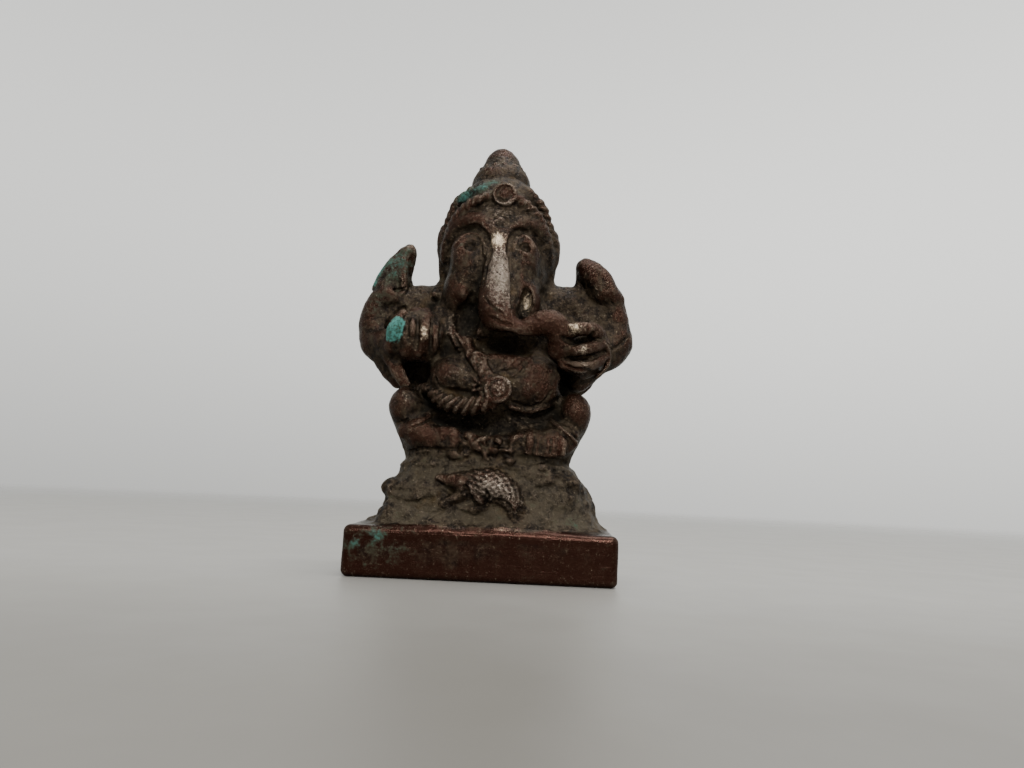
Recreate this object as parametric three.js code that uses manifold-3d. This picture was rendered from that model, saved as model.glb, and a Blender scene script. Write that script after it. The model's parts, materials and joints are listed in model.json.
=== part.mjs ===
// A small cast copper-alloy statuette of the elephant-headed Hindu deity Ganesha, seated on a mound.
// Millimetres, +Z up, the figure faces -Y. The origin is the centre of the plinth's underside.
// "Right" and "left" in the names are the figure's own, so its right arm is on the -X side.
//
// The statuette is one casting. Each mesh is one of the elements that a founder models in wax and
// joins before casting, kept apart from its neighbours by a seam, so that each is a solid of its own.

import * as THREE from "three";
import { RoundedBoxGeometry } from "three/addons/geometries/RoundedBoxGeometry.js";
import { mergeVertices } from "three/addons/utils/BufferGeometryUtils.js";
import Module from "manifold-3d";

const wasm = await Module();
wasm.setup();

// ---------------------------------------------------------------- driving dimensions

const HEIGHT = 72; // underside of the plinth to the tip of the crown
const SEAM = 0.3; // clear gap between neighbouring elements
const SMALLEST_DETAIL = 0.03; // shorter edges left by cutting are merged away

const PLINTH = { width: 40, depth: 26, height: 7.4, edge: 0.7 };
const SEAT_TOP = 18.8; // where the mound ends and the legs begin
const KNEE_TOP = 29;
const SHOULDER = 43.5; // height of the shoulder joints
const BROW = 55.5; // height of the tops of the eyebrows
const CROWN_BASE = 60.3;
const TIER_BASE = 64.8;
const FINIAL_BASE = 68.2;
const ELBOW_REACH = 20.6; // from the middle plane to the centre of a raised arm's elbow

const BRONZE = { color: 0x4b3d34, roughness: 0.42, metalness: 0.85 };
const FILED_BRONZE = { color: 0x452b25, roughness: 0.35, metalness: 0.9 };
const WORN_BRONZE = { color: 0x7d6a5a, roughness: 0.3, metalness: 0.95 };
const GREEN_BRONZE = { color: 0x4c5f55, roughness: 0.7, metalness: 0.5 };

// ---------------------------------------------------------------- solids

// A closed three.js geometry as a solid, turned right way out.
function solidOf(geometry) {
  const bare = geometry.index ? geometry.toNonIndexed() : geometry.clone();
  for (const name of Object.keys(bare.attributes)) {
    if (name !== "position") bare.deleteAttribute(name);
  }
  const merged = mergeVertices(bare, 1e-4);
  const triVerts = new Uint32Array(merged.index.array);
  const vertProperties = new Float32Array(merged.attributes.position.array);
  const solid = new wasm.Manifold(new wasm.Mesh({ numProp: 3, vertProperties, triVerts }));
  if (solid.volume() > 0) return solid;
  for (let i = 0; i < triVerts.length; i += 3) {
    [triVerts[i + 1], triVerts[i + 2]] = [triVerts[i + 2], triVerts[i + 1]];
  }
  return new wasm.Manifold(new wasm.Mesh({ numProp: 3, vertProperties, triVerts }));
}

function geometryOf(solid) {
  const { vertProperties, triVerts } = solid.getMesh();
  const geometry = new THREE.BufferGeometry();
  geometry.setAttribute("position", new THREE.BufferAttribute(vertProperties, 3));
  geometry.setIndex(new THREE.BufferAttribute(triVerts, 1));
  geometry.computeVertexNormals();
  return geometry;
}

const joined = (solids) => solids.reduce((whole, next) => whole.add(next));

const largest = (solid) =>
  solid.decompose().reduce((best, next) => (next.volume() > best.volume() ? next : best));

// ---------------------------------------------------------------- forms
// A form is a function of one distance: how far its surface stands outside its true place.
// form(0) is the shape itself, and form(SEAM) is the room that its neighbours leave for it.

const group = (...forms) => (grow) => joined(forms.map((form) => form(grow)));

// An ellipsoid, optionally turned by Euler angles in degrees.
function ball([x, y, z], [rx, ry, rz], turn = [0, 0, 0]) {
  return (grow) => {
    const shape = new THREE.SphereGeometry(1, 16, 10);
    shape.rotateX(Math.PI / 2);
    shape.scale(rx + grow, ry + grow, rz + grow);
    const [a, b, c] = turn.map(THREE.MathUtils.degToRad);
    shape.applyMatrix4(new THREE.Matrix4().makeRotationFromEuler(new THREE.Euler(a, b, c)));
    return solidOf(shape.translate(x, y, z));
  };
}

// A round-ended tapering limb through stations of [x, y, z, radius].
function limb(stations, { sides = 10, rows = 8, capRows = 2 } = {}) {
  const path = new THREE.CatmullRomCurve3(
    stations.map(([x, y, z]) => new THREE.Vector3(x, y, z)),
    false,
    "centripetal",
  );
  const radiusAt = (t) => {
    const place = t * (stations.length - 1);
    const from = Math.min(Math.floor(place), stations.length - 2);
    return THREE.MathUtils.lerp(stations[from][3], stations[from + 1][3], place - from);
  };
  const frames = path.computeFrenetFrames(rows);
  const allRows = rows + 2 * capRows;

  return (grow) => {
    const shape = new THREE.SphereGeometry(1, sides, allRows);
    const { position, uv } = shape.attributes;
    const point = new THREE.Vector3();
    for (let i = 0; i < position.count; i++) {
      const row = Math.round((1 - uv.getY(i)) * allRows);
      const bodyRow = THREE.MathUtils.clamp(row - capRows, 0, rows);
      const t = bodyRow / rows;
      const radius = radiusAt(t) + grow;
      const intoCap = (row - capRows - bodyRow) / capRows; // -1 at the first tip, 1 at the last
      const tipAngle = (intoCap * Math.PI) / 2;
      const around = Math.round(uv.getX(i) * sides) * ((2 * Math.PI) / sides);
      const reach = Math.abs(intoCap) > 0.999 ? 0 : radius * Math.cos(tipAngle);
      path.getPoint(t, point);
      point.addScaledVector(frames.tangents[bodyRow], radius * Math.sin(tipAngle));
      point.addScaledVector(frames.normals[bodyRow], reach * Math.cos(around));
      point.addScaledVector(frames.binormals[bodyRow], reach * Math.sin(around));
      position.setXYZ(i, point.x, point.y, point.z);
    }
    return solidOf(shape);
  };
}

const SLIM = { rows: 5, sides: 8 }; // the mesh of a thin limb

// The same limb on both sides of the middle plane is written once, for the +X side.
const mirrored = (stations) => stations.map(([x, ...rest]) => [-x, ...rest]);

// A solid of revolution about a vertical line through (x, y). The profile is [radius, z] upwards.
function turned([x, y], profile, segments = 20) {
  const heights = profile.map(([, z]) => z);
  const low = Math.min(...heights);
  const high = Math.max(...heights);
  return (grow) => {
    const outline = profile.map(([radius, z]) => {
      const share = (z - low) / (high - low);
      const height = z + THREE.MathUtils.lerp(-grow, grow, share);
      return new THREE.Vector2(radius > 0 ? radius + grow : 0, height);
    });
    const shape = new THREE.LatheGeometry(outline, segments);
    shape.rotateX(Math.PI / 2);
    return solidOf(shape.translate(x, y, 0));
  };
}

// A stack of rounded-rectangle sections: rows of { z, x, y, shift } give each section's height, half
// width, half depth and sideways shift. A power of 2 is an ellipse, and a higher one is squarer.
function stack(rows, power, sides = 28) {
  const squared = (value) => Math.sign(value) * Math.abs(value) ** (2 / power);
  const last = rows.length - 1;
  return (grow) => {
    const shape = new THREE.CylinderGeometry(1, 1, 1, sides, last);
    const { position } = shape.attributes;
    for (let i = 0; i < position.count; i++) {
      const [cx, cy, cz] = [position.getX(i), position.getY(i), position.getZ(i)];
      const row = rows[Math.round((cy + 0.5) * last)];
      const rim = Math.hypot(cx, cz);
      const ends = row === rows[0] ? -grow : row === rows[last] ? grow : 0;
      position.setXYZ(
        i,
        (row.shift ?? 0) + rim * squared(cx / (rim || 1)) * (row.x + grow),
        rim * squared(cz / (rim || 1)) * (row.y + grow),
        row.z + ends,
      );
    }
    return solidOf(shape);
  };
}

// An upright plate whose two faces are smaller than its middle: a smooth outline of [x, z] about its
// centre, and the share of its size that it keeps at the faces.
function plate([x, y, z], outline, thickness, faceShare = 0.7) {
  const corners = outline.map(([across, up]) => new THREE.Vector2(across, up));
  const curve = new THREE.SplineCurve([...corners, corners[0]]).getPoints(28).slice(1);
  return (grow) => {
    const flat = new wasm.CrossSection([curve.map((p) => [p.x, p.y])], "NonZero");
    const section = flat.offset(grow, "Round", 2, 4);
    const front = section.extrude(thickness / 2 + grow, 0, 0, [faceShare, faceShare]);
    return front.add(front.mirror([0, 0, 1])).rotate([90, 0, 0]).translate([x, y, z]);
  };
}

// A disc that faces forwards, with a domed middle inside a raised ring.
function medallion([x, y, z], radius, thickness) {
  const half = thickness / 2;
  const profile = [
    [0, -half],
    [radius * 0.35, -half * 0.7],
    [radius * 0.55, -half * 0.3],
    [radius * 0.8, -half],
    [radius, -half * 0.5],
    [radius, half],
    [0, half],
  ];
  return (grow) => {
    const outline = profile.map(([r, h]) => new THREE.Vector2(r && r + grow, h + Math.sign(h) * grow));
    return solidOf(new THREE.LatheGeometry(outline, 14).translate(x, y, z));
  };
}

// ---------------------------------------------------------------- base

function plinth() {
  const { width, depth, height, edge } = PLINTH;
  return (grow) => {
    const [w, d, h] = [width, depth, height].map((size) => size + 2 * grow);
    return solidOf(new RoundedBoxGeometry(w, d, h, 2, edge).translate(0, 0, height / 2));
  };
}

// The rocky mound spreads from the seat down to the plinth, a little further on the left.
const mound = () =>
  stack(
    [
      { z: PLINTH.height + SEAM, x: 17.9, y: 11.6, shift: 0.3 },
      { z: 9.4, x: 16.8, y: 11.1, shift: 0.4 },
      { z: 12.4, x: 15.8, y: 10.6, shift: 0.6 },
      { z: 15.6, x: 14.6, y: 9.9, shift: 0.4 },
      { z: 17.4, x: 13.3, y: 9.4 },
      { z: SEAT_TOP, x: 13.0, y: 9.2 },
    ],
    3,
  );

// The rat that carries the deity runs towards its right, in relief on the mound's front.
const rat = () =>
  group(
    ball([1.6, -10.5, 13.7], [4.4, 1.8, 2.2], [0, 10, 0]), // back
    ball([-2.6, -10.6, 13.4], [2.4, 1.7, 1.8]), // head
    limb([[-4, -11, 13.2, 1.1], [-6, -10.8, 12.8, 0.8], [-7.6, -10.6, 12.4, 0.5]], SLIM), // snout
    limb([[5, -10.8, 12.8, 1.3], [6.6, -11.3, 10.8, 1], [6.6, -11.6, 9.2, 0.7]], SLIM), // hind leg
    limb([[-2, -11, 12, 0.8], [-4, -11.4, 10.4, 0.8], [-6, -11.4, 9.8, 0.6]], SLIM), // forepaw
  );

// ---------------------------------------------------------------- body

const BELLY = { at: [0.3, -2.6, 30.2], radii: [11, 8.2, 8.2] };
const CHEST = { at: [0, -1, 38.5], radii: [11.2, 6.3, 8] };

const torso = () =>
  group(
    ball(BELLY.at, BELLY.radii),
    ball(CHEST.at, CHEST.radii),
    limb([[-11.2, 1.2, SHOULDER, 3], [0, 1, SHOULDER + 1, 3.9], [11.2, 1.2, SHOULDER, 3]]),
  );

const lap = () =>
  stack(
    [
      { z: SEAT_TOP + SEAM, x: 12.6, y: 8.6 },
      { z: 21, x: 12.3, y: 8.8 },
      { z: 23.6, x: 13.1, y: 8.4 },
      { z: 26.4, x: 12.2, y: 7.4 },
    ],
    2.4,
    24,
  );

// Thigh, round bent knee, and shin down to the ankle, for the left side.
const KNEE = [13.6, -4.8, KNEE_TOP - 3.2];
const THIGH = [[6, 0.2, 26, 3], [10.5, -2.8, 26.4, 3], [...KNEE, 3.1]];
const SHIN = [[...KNEE, 2.9], [12.6, -6.4, 23.2, 2.4], [10.2, -8, 21.3, 1.8]];
const FOOT = [[9.6, -8.6, 21, 1.6], [7.8, -9.8, 20.9, 1.7], [6.2, -10.2, 20.7, 1.4]];

const leg = (side) => group(limb(side(THIGH), { rows: 5 }), limb(side(SHIN), { rows: 5 }));
const foot = (side) => limb(side(FOOT), { rows: 5 });

// ---------------------------------------------------------------- head

const head = () =>
  group(ball([0, -0.1, 53.6], [8.6, 7.5, 10]), ball([0, -1.4, 47.2], [7.8, 6.4, 5.2]));

// An arched brow ridge over each eye, from beside the trunk out to the temple, for the left side.
const BROW_ARCH = [
  [2.2, -7, BROW - 3.6, 0.6],
  [2.7, -7.5, BROW - 1, 0.7],
  [4.6, -7, BROW + 0.2, 0.7],
  [6.5, -5.4, BROW - 1.4, 0.7],
  [7.3, -4.2, BROW - 3.6, 0.6],
];
const brow = (side) => limb(side(BROW_ARCH), { rows: 8, sides: 6 });
const eye = (sign) => ball([sign * 4.7, -6.2, BROW - 3], [1.4, 1, 1.1]);

const EAR_TILT = 6;
const ear = (sign) => ball([sign * 9, 0.6, 51.8], [1.7, 4.2, 5.9], [0, sign * EAR_TILT, 0]);

// Down from the brow, then across to the left hand.
const trunk = () =>
  limb(
    [
      [0.3, -7.4, BROW - 0.4, 1.8],
      [0.4, -8.8, 50.4, 2.2],
      [0.2, -9.6, 46, 2.5],
      [-0.1, -10.2, 42.6, 2.4],
      [1, -10.6, 40.2, 2],
      [3, -10.7, 38.5, 1.7],
      [5.4, -10.5, 38, 1.5],
      [7.4, -10.2, 39, 1.6],
      [9.8, -9.8, 40.2, 1.75],
      [11.7, -9.5, 39.5, 1.4],
      [12.6, -9.4, 38.9, 1],
    ],
    { rows: 20 },
  );

// The left tusk is whole, and the right one is broken off short.
const leftTusk = () => limb([[4.9, -7.2, 44.8, 0.6], [5, -8.2, 42.8, 0.95], [5.1, -8.9, 41.4, 0.85]], SLIM);
const rightTusk = () => limb([[-4.9, -6.4, 45.6, 0.8], [-5.2, -7.2, 43.9, 0.95]], SLIM);

// ---------------------------------------------------------------- crown

const CROWN_AXIS = [0, 0.2];

const diadem = () =>
  turned(CROWN_AXIS, [
    [0, CROWN_BASE],
    [7.4, CROWN_BASE],
    [7.2, 61.9],
    [6.4, 63.4],
    [5, TIER_BASE],
    [0, TIER_BASE],
  ]);

const tier = () =>
  turned(CROWN_AXIS, [
    [0, TIER_BASE + SEAM],
    [4.7, TIER_BASE + SEAM],
    [5.1, 66],
    [4.6, 67.2],
    [4.1, FINIAL_BASE - SEAM],
    [0, FINIAL_BASE - SEAM],
  ]);

const finial = () =>
  turned(CROWN_AXIS, [
    [0, FINIAL_BASE],
    [3.6, FINIAL_BASE],
    [3.8, 68.9],
    [3.3, 70],
    [2.3, 71],
    [1.1, 71.75],
    [0, HEIGHT],
  ]);

// A twisted band from the crown's medallion round the brow to the ear, for the left side.
const BAND = [[2.4, -6.6, 60.9, 0.8], [5.4, -5.4, 59.4, 0.9], [7.8, -3.2, 56.6, 0.9], [9, -1.2, 53.6, 0.9]];
const hairBand = (side) => limb(side(BAND), { rows: 9, sides: 8 });

// ---------------------------------------------------------------- arms

// Upper arm out to the elbow, and forearm up to the raised fist, for the left side.
const raisedArm = (side, elbow, fist) =>
  group(
    limb(side([[11.8, 1.6, SHOULDER, 3], [16, 1.6, SHOULDER - 1.8, 3.1], elbow]), { rows: 5 }),
    limb(side([elbow, [elbow[0] - 0.4, -0.3, elbow[2] + 3.2, 2.4], fist]), { rows: 5 }),
  );

const LEFT_ELBOW = [ELBOW_REACH, 0.6, 38.6, 2.7];
const RIGHT_ELBOW = [ELBOW_REACH - 0.6, 0.6, 40.4, 2.7];

// Lower arm from under the shoulder to the elbow, and forearm forwards to the wrist.
// Behind the forearm the metal runs on down to the top of the knee, as a web.
const LOWER_ELBOW = [18.2, -0.8, 36, 2.5];
const UPPER_PART = [[12.4, -0.4, 40.6, 2.7], [15.8, -0.6, 38.6, 2.7], LOWER_ELBOW];
const FOREARM = [LOWER_ELBOW, [16, -3.2, 34.6, 2.1], [13.6, -4.6, 34.8, 1.8]];
const KNEE_WEB = [LOWER_ELBOW, [16.2, -1, 32.6, 2], [14.4, -1.6, 30.6, 1.6]];
const LOWER_ARM_RUNS = [UPPER_PART, FOREARM, KNEE_WEB];
const lowerArm = (side) => group(...LOWER_ARM_RUNS.map((run) => limb(side(run), { rows: 5 })));

// The open palm, raised, with the fingers upwards and the thumb on the outside.
const upright = (x) => limb([[x, -7.2, 36.5, 1], [x, -7.5, 39.5, 1], [x, -7.1, 41.6, 0.9]], SLIM);
const rightHand = () =>
  group(
    ball([-11.9, -6.7, 36.2], [3.5, 1.8, 3.2]),
    limb([[-14.1, -7, 36.4, 1.2], [-15.2, -7.4, 38.8, 1.3], [-14.9, -7.4, 40.2, 1.1]], SLIM),
    ...[-12.7, -10.9, -9.1].map(upright),
  );

// The cupped hand under the tip of the trunk, with three fingers curled round its front.
const curled = (z) =>
  limb([[16.8, -7.6, z + 0.4, 1], [13.8, -9.3, z - 0.4, 1], [11, -8.6, z + 0.2, 0.8]], SLIM);
const leftHand = () => group(ball([14.3, -7, 35.3], [3.5, 1.7, 3.1]), ...[37, 35.1, 33.3].map(curled));

const axeBlade = () =>
  plate(
    [-17.2, -0.8, 49],
    [
      [2.7, 4.2],
      [2.9, 1.6],
      [3.1, -0.6],
      [2.3, -2],
      [-0.4, -3],
      [-3.3, -2.8],
      [-3.4, -1],
      [-2, 1.2],
      [0.4, 3.1],
    ],
    3.2,
  );

const axeHandle = () => limb([[-18.4, -4, 37.6, 1], [-16, -4.8, 33.6, 1.2], [-14, -5.2, 30.2, 1.1]], SLIM);
const lotusBud = () => limb([[18, -1.4, 46.4, 1.8], [16.8, -1.6, 48.6, 2.3], [15.6, -1.6, 50.7, 1.7]], SLIM);

// ---------------------------------------------------------------- ornaments

const belt = () =>
  limb(
    [
      [-10.6, -5.4, 28.6, 0.9],
      [-8.3, -8.5, 26.4, 1.2],
      [-4, -10.6, 24.9, 1.25],
      [0.6, -11.2, 25, 1.2],
      [5.2, -10.5, 24.9, 1],
      [9.4, -8.2, 26, 0.9],
      [11.2, -5.4, 27.6, 0.8],
    ],
    { rows: 14, sides: 8 },
  );

const sacredThread = () =>
  limb(
    [
      [-9, -4.6, 41.6, 0.8],
      [-7.6, -6.1, 39.2, 0.9],
      [-5.1, -7.6, 36, 0.95],
      [-1.9, -10.4, 33, 0.95],
      [-0.3, -11, 31.2, 0.85],
    ],
    { rows: 8, sides: 8 },
  );

const necklace = () => limb([[3.2, -10.6, 31.6, 0.6], [4.4, -9.9, 33.6, 0.65], [6.6, -7.6, 37, 0.6]], SLIM);

// ---------------------------------------------------------------- the statuette

const asModelled = (stations) => stations;

// Each section's elements are [name, form, material], from the inside out: an element is cut back
// from all those before it.
const SECTIONS = {
  base: [
    ["plinth", plinth(), FILED_BRONZE],
    ["rock_mound", mound(), BRONZE],
  ],
  body: [
    ["torso", torso(), BRONZE],
    ["lap_cloth", lap(), BRONZE],
    ["right_leg", leg(mirrored), BRONZE],
    ["left_leg", leg(asModelled), BRONZE],
    ["right_foot", foot(mirrored), BRONZE],
    ["left_foot", foot(asModelled), BRONZE],
  ],
  rat: [["rat", rat(), WORN_BRONZE]],
  head: [
    ["head", head(), BRONZE],
    ["diadem", diadem(), GREEN_BRONZE],
    ["crown_tier", tier(), BRONZE],
    ["crown_finial", finial(), BRONZE],
    ["crown_medallion", medallion([0.3, -7.1, 62], 1.6, 1.1), BRONZE],
    ["trunk", trunk(), WORN_BRONZE],
    ["right_tusk_stub", rightTusk(), BRONZE],
    ["left_tusk", leftTusk(), WORN_BRONZE],
    ["right_brow", brow(mirrored), BRONZE],
    ["left_brow", brow(asModelled), BRONZE],
    ["right_eye", eye(-1), BRONZE],
    ["left_eye", eye(1), BRONZE],
    ["right_hair_band", hairBand(mirrored), BRONZE],
    ["left_hair_band", hairBand(asModelled), BRONZE],
    ["right_ear", ear(-1), BRONZE],
    ["left_ear", ear(1), BRONZE],
  ],
  arms: [
    ["axe_handle", axeHandle(), BRONZE],
    ["upper_right_arm", raisedArm(mirrored, RIGHT_ELBOW, [18.2, -1, 44.2, 1.9]), BRONZE],
    ["upper_left_arm", raisedArm(asModelled, LEFT_ELBOW, [18.3, -1.3, 44.8, 1.9]), BRONZE],
    ["lower_right_arm", lowerArm(mirrored), BRONZE],
    ["lower_left_arm", lowerArm(asModelled), BRONZE],
    ["axe_blade", axeBlade(), GREEN_BRONZE],
    ["lotus_bud", lotusBud(), BRONZE],
    ["right_hand", rightHand(), BRONZE],
    ["left_hand", leftHand(), WORN_BRONZE],
  ],
  ornaments: [
    ["belt_medallion", medallion([1.4, -11.4, 28.7], 1.6, 1), WORN_BRONZE],
    ["sacred_thread", sacredThread(), BRONZE],
    ["necklace", necklace(), BRONZE],
    ["snake_belt", belt(), BRONZE],
  ],
};

const boxOf = (solid) => {
  const { min, max } = solid.boundingBox();
  return new THREE.Box3(new THREE.Vector3(...min), new THREE.Vector3(...max));
};

const roomTaken = []; // what each finished element takes up, with its seam

function elementMesh([name, form, finish]) {
  const whole = form(0);
  const reach = boxOf(whole);
  const neighbours = roomTaken.filter(({ box }) => box.intersectsBox(reach));
  const cut = neighbours.reduce((rest, { room }) => rest.subtract(room), whole);
  const room = form(SEAM);
  roomTaken.push({ room, box: boxOf(room) });
  const geometry = geometryOf(largest(cut).simplify(SMALLEST_DETAIL));
  const mesh = new THREE.Mesh(geometry, new THREE.MeshStandardMaterial(finish));
  mesh.name = name;
  return mesh;
}

const statuette = new THREE.Group();
for (const [section, elements] of Object.entries(SECTIONS)) {
  const part = new THREE.Group();
  part.name = section;
  part.add(...elements.map(elementMesh));
  statuette.add(part);
}

export default statuette;
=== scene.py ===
"""The looks of a small cast copper-alloy statuette of Ganesha.

The real statuette is one casting, so the pieces are sculpted together: every element of the figure
is a solid form, the forms are melted into one surface as wax is, and that surface is then divided
into one closed mesh for each CAD node. Sculpting is done in millimetres. Forms are placed from the
centre of their node's CAD box, and the thin lines that are cut or laid on the front are placed from the
middle of the plinth's underside. The finished meshes are in metres.
"""

import json
import math

import bpy
import numpy as np
import openvdb
from mathutils import Euler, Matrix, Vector


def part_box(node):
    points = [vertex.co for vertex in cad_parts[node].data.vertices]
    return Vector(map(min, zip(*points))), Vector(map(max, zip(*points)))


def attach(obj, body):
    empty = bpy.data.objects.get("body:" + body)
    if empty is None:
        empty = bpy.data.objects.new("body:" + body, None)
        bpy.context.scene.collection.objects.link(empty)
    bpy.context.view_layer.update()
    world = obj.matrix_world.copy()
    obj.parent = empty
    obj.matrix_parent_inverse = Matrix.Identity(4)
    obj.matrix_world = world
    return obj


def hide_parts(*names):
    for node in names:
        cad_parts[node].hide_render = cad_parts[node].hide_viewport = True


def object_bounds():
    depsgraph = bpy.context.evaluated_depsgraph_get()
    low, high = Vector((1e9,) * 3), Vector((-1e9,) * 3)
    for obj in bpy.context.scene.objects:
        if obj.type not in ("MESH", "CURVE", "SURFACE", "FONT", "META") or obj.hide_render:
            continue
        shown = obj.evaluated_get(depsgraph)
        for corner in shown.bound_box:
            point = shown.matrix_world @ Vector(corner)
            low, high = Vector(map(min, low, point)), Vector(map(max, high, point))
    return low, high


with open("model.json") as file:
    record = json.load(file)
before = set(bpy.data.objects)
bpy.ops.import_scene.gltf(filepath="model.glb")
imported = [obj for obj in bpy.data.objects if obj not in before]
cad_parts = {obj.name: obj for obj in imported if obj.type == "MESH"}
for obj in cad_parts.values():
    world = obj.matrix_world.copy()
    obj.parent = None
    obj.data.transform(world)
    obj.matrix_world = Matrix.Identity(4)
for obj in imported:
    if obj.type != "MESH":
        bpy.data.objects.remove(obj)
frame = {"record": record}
cad_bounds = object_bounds()

MM = 0.001
CELL = 0.2  # the grid's spacing, in mm
MARGIN = 2.4  # how far round a form its distances are worked out, in mm
DETAIL_MARGIN = 1.2  # the same, for a detail that is cut or laid on afterwards
FAR = 6.0  # the distance that stands for "nowhere near", in mm
OVERLAP = 0.45  # how far each piece runs on beneath its neighbours, in mm
SINK = 0.5  # how steeply it dives beneath them


# ---------------------------------------------------------------- places


def centre(node):
    """The middle of a node's CAD box, in mm."""
    low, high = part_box(node)
    return np.array(low + high) / 2 / MM


def half_size(node):
    low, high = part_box(node)
    return np.array(high - low) / 2 / MM


def underside():
    """The middle of the plinth's underside, in mm."""
    return centre("plinth") - [0, 0, half_size("plinth")[2]]


# ---------------------------------------------------------------- forms
# A form is (low corner, high corner, distance), and distance(x, y, z) is negative inside the form.


def rotation(turn):
    return np.array(Euler([math.radians(a) for a in turn]).to_matrix(), np.float32)


def ball(at, offset, radii, turn=(0, 0, 0)):
    """An ellipsoid, turned by Euler angles in degrees."""
    middle = np.asarray(at) + offset
    radii = np.broadcast_to(np.asarray(radii, np.float32), 3)
    axes = rotation(turn)
    reach = np.sqrt(((axes * radii) ** 2).sum(1))

    def distance(x, y, z):
        x, y, z = x - middle[0], y - middle[1], z - middle[2]
        local = [axes[0, i] * x + axes[1, i] * y + axes[2, i] * z for i in range(3)]
        near = np.sqrt(sum((v / r) ** 2 for v, r in zip(local, radii))) + 1e-6
        steep = np.sqrt(sum((v / r**2) ** 2 for v, r in zip(local, radii))) + 1e-6
        return near * (near - 1) / steep

    return middle - reach, middle + reach, distance


def smooth_path(stations, per_span):
    """A Catmull-Rom curve through rows of numbers."""
    rows = np.asarray(stations, float)
    if len(rows) == 2:
        share = np.linspace(0, 1, per_span + 1)[:, None]
        return rows[0] * (1 - share) + rows[1] * share
    padded = np.vstack([2 * rows[0] - rows[1], rows, 2 * rows[-1] - rows[-2]])
    t = np.linspace(0, 1, per_span, endpoint=False)[:, None]
    runs = []
    for a, b, c, d in zip(padded, padded[1:], padded[2:], padded[3:]):
        bend = 2 * a - 5 * b + 4 * c - d
        runs.append(0.5 * (2 * b + (c - a) * t + bend * t**2 + (3 * b - a - 3 * c + d) * t**3))
    return np.vstack([*runs, rows[-1:]])


def cord(at, stations, twist=None, flat=1.0, per_span=5):
    """A round-ended tube through stations of (x, y, z, radius). A twist is (pitch, depth, lean): the
    distance between ridges, their height, and how far they slant. flat squashes it front to back."""
    path = smooth_path(stations, per_span)
    points = path[:, :3] + at
    radii = path[:, 3]
    lengths = np.linalg.norm(np.diff(points, axis=0), axis=1)
    travelled = np.concatenate([[0], np.cumsum(lengths)])
    reach = radii.max() + (twist[1] if twist else 0)

    def distance(x, y, z):
        shape = np.broadcast_shapes(x.shape, y.shape, z.shape)
        best = np.full(shape, 1e3, np.float32)
        along = np.zeros(shape, np.float32) if twist else None
        for i, length in enumerate(lengths):
            step = (points[i + 1] - points[i]) / max(length, 1e-6)
            dx, dy, dz = x - points[i, 0], y - points[i, 1], z - points[i, 2]
            run = np.clip(dx * step[0] + dy * step[1] + dz * step[2], 0, length)
            gap = (dx - run * step[0]) ** 2 + ((dy - run * step[1]) * flat) ** 2
            gap = np.sqrt(gap + (dz - run * step[2]) ** 2)
            share = run / max(length, 1e-6)
            gap -= radii[i] + (radii[i + 1] - radii[i]) * share
            if twist:
                side = (dx - run * step[0]) * step[2] - (dz - run * step[2]) * step[0]
                here = travelled[i] + run + twist[2] * side
                along = np.where(gap < best, here, along)
            best = np.minimum(best, gap)
        if twist:
            pitch, depth, _ = twist
            best -= depth * (np.abs(np.sin(math.pi / pitch * along)) * 2 - 1)
        return best

    return points.min(0) - reach, points.max(0) + reach, distance


def block(at, half, edge):
    """A box with rounded edges."""
    half = np.asarray(half)

    def distance(x, y, z):
        outside = [np.abs(v - c) - h + edge for v, c, h in zip((x, y, z), at, half)]
        deepest = np.minimum(np.maximum(np.maximum(outside[0], outside[1]), outside[2]), 0)
        return np.sqrt(sum(np.maximum(v, 0) ** 2 for v in outside)) + deepest - edge

    return at - half, at + half, distance


def heap(at, rows, power):
    """A stack of rounded-rectangle sections: rows of (height, left, right, half depth)."""
    rows = np.asarray(rows, float)
    widest = np.abs(rows[:, 1:3]).max()
    deepest = rows[:, 3].max()
    smooth = smooth_path(rows, 6)

    def distance(x, y, z):
        level = z - at[2]
        left, right, depth = (np.interp(level, smooth[:, 0], smooth[:, i]) for i in (1, 2, 3))
        across = np.abs(x - at[0] - (right + left) / 2) / ((right - left) / 2)
        inward = np.abs(y - at[1]) / depth
        ring = (across**power + inward**power) ** (1 / power)
        side = (ring - 1) * np.minimum((right - left) / 2, depth)
        return np.maximum(side, np.maximum(rows[0, 0] - level, level - rows[-1, 0]))

    reach = np.array([widest, deepest, 0])
    low = at - reach + [0, 0, rows[0, 0]]
    return low, at + reach + [0, 0, rows[-1, 0]], distance


def turned(at, profile):
    """A solid of revolution round a vertical line: rows of (height, radius), from the bottom up."""
    smooth = smooth_path(profile, 6)
    heights, radii = smooth.T
    slopes = np.gradient(radii, heights + np.arange(len(heights)) * 1e-6)

    def distance(x, y, z):
        level = z - at[2]
        radius = np.interp(level, heights, radii)
        slope = np.interp(level, heights, slopes)
        side = (np.hypot(x - at[0], y - at[1]) - radius) / np.sqrt(1 + np.minimum(slope**2, 9))
        return np.maximum(side, np.maximum(heights[0] - level, level - heights[-1]))

    reach = np.array([radii.max(), radii.max(), 0])
    return at - reach + [0, 0, heights[0]], at + reach + [0, 0, heights[-1]], distance


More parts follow.
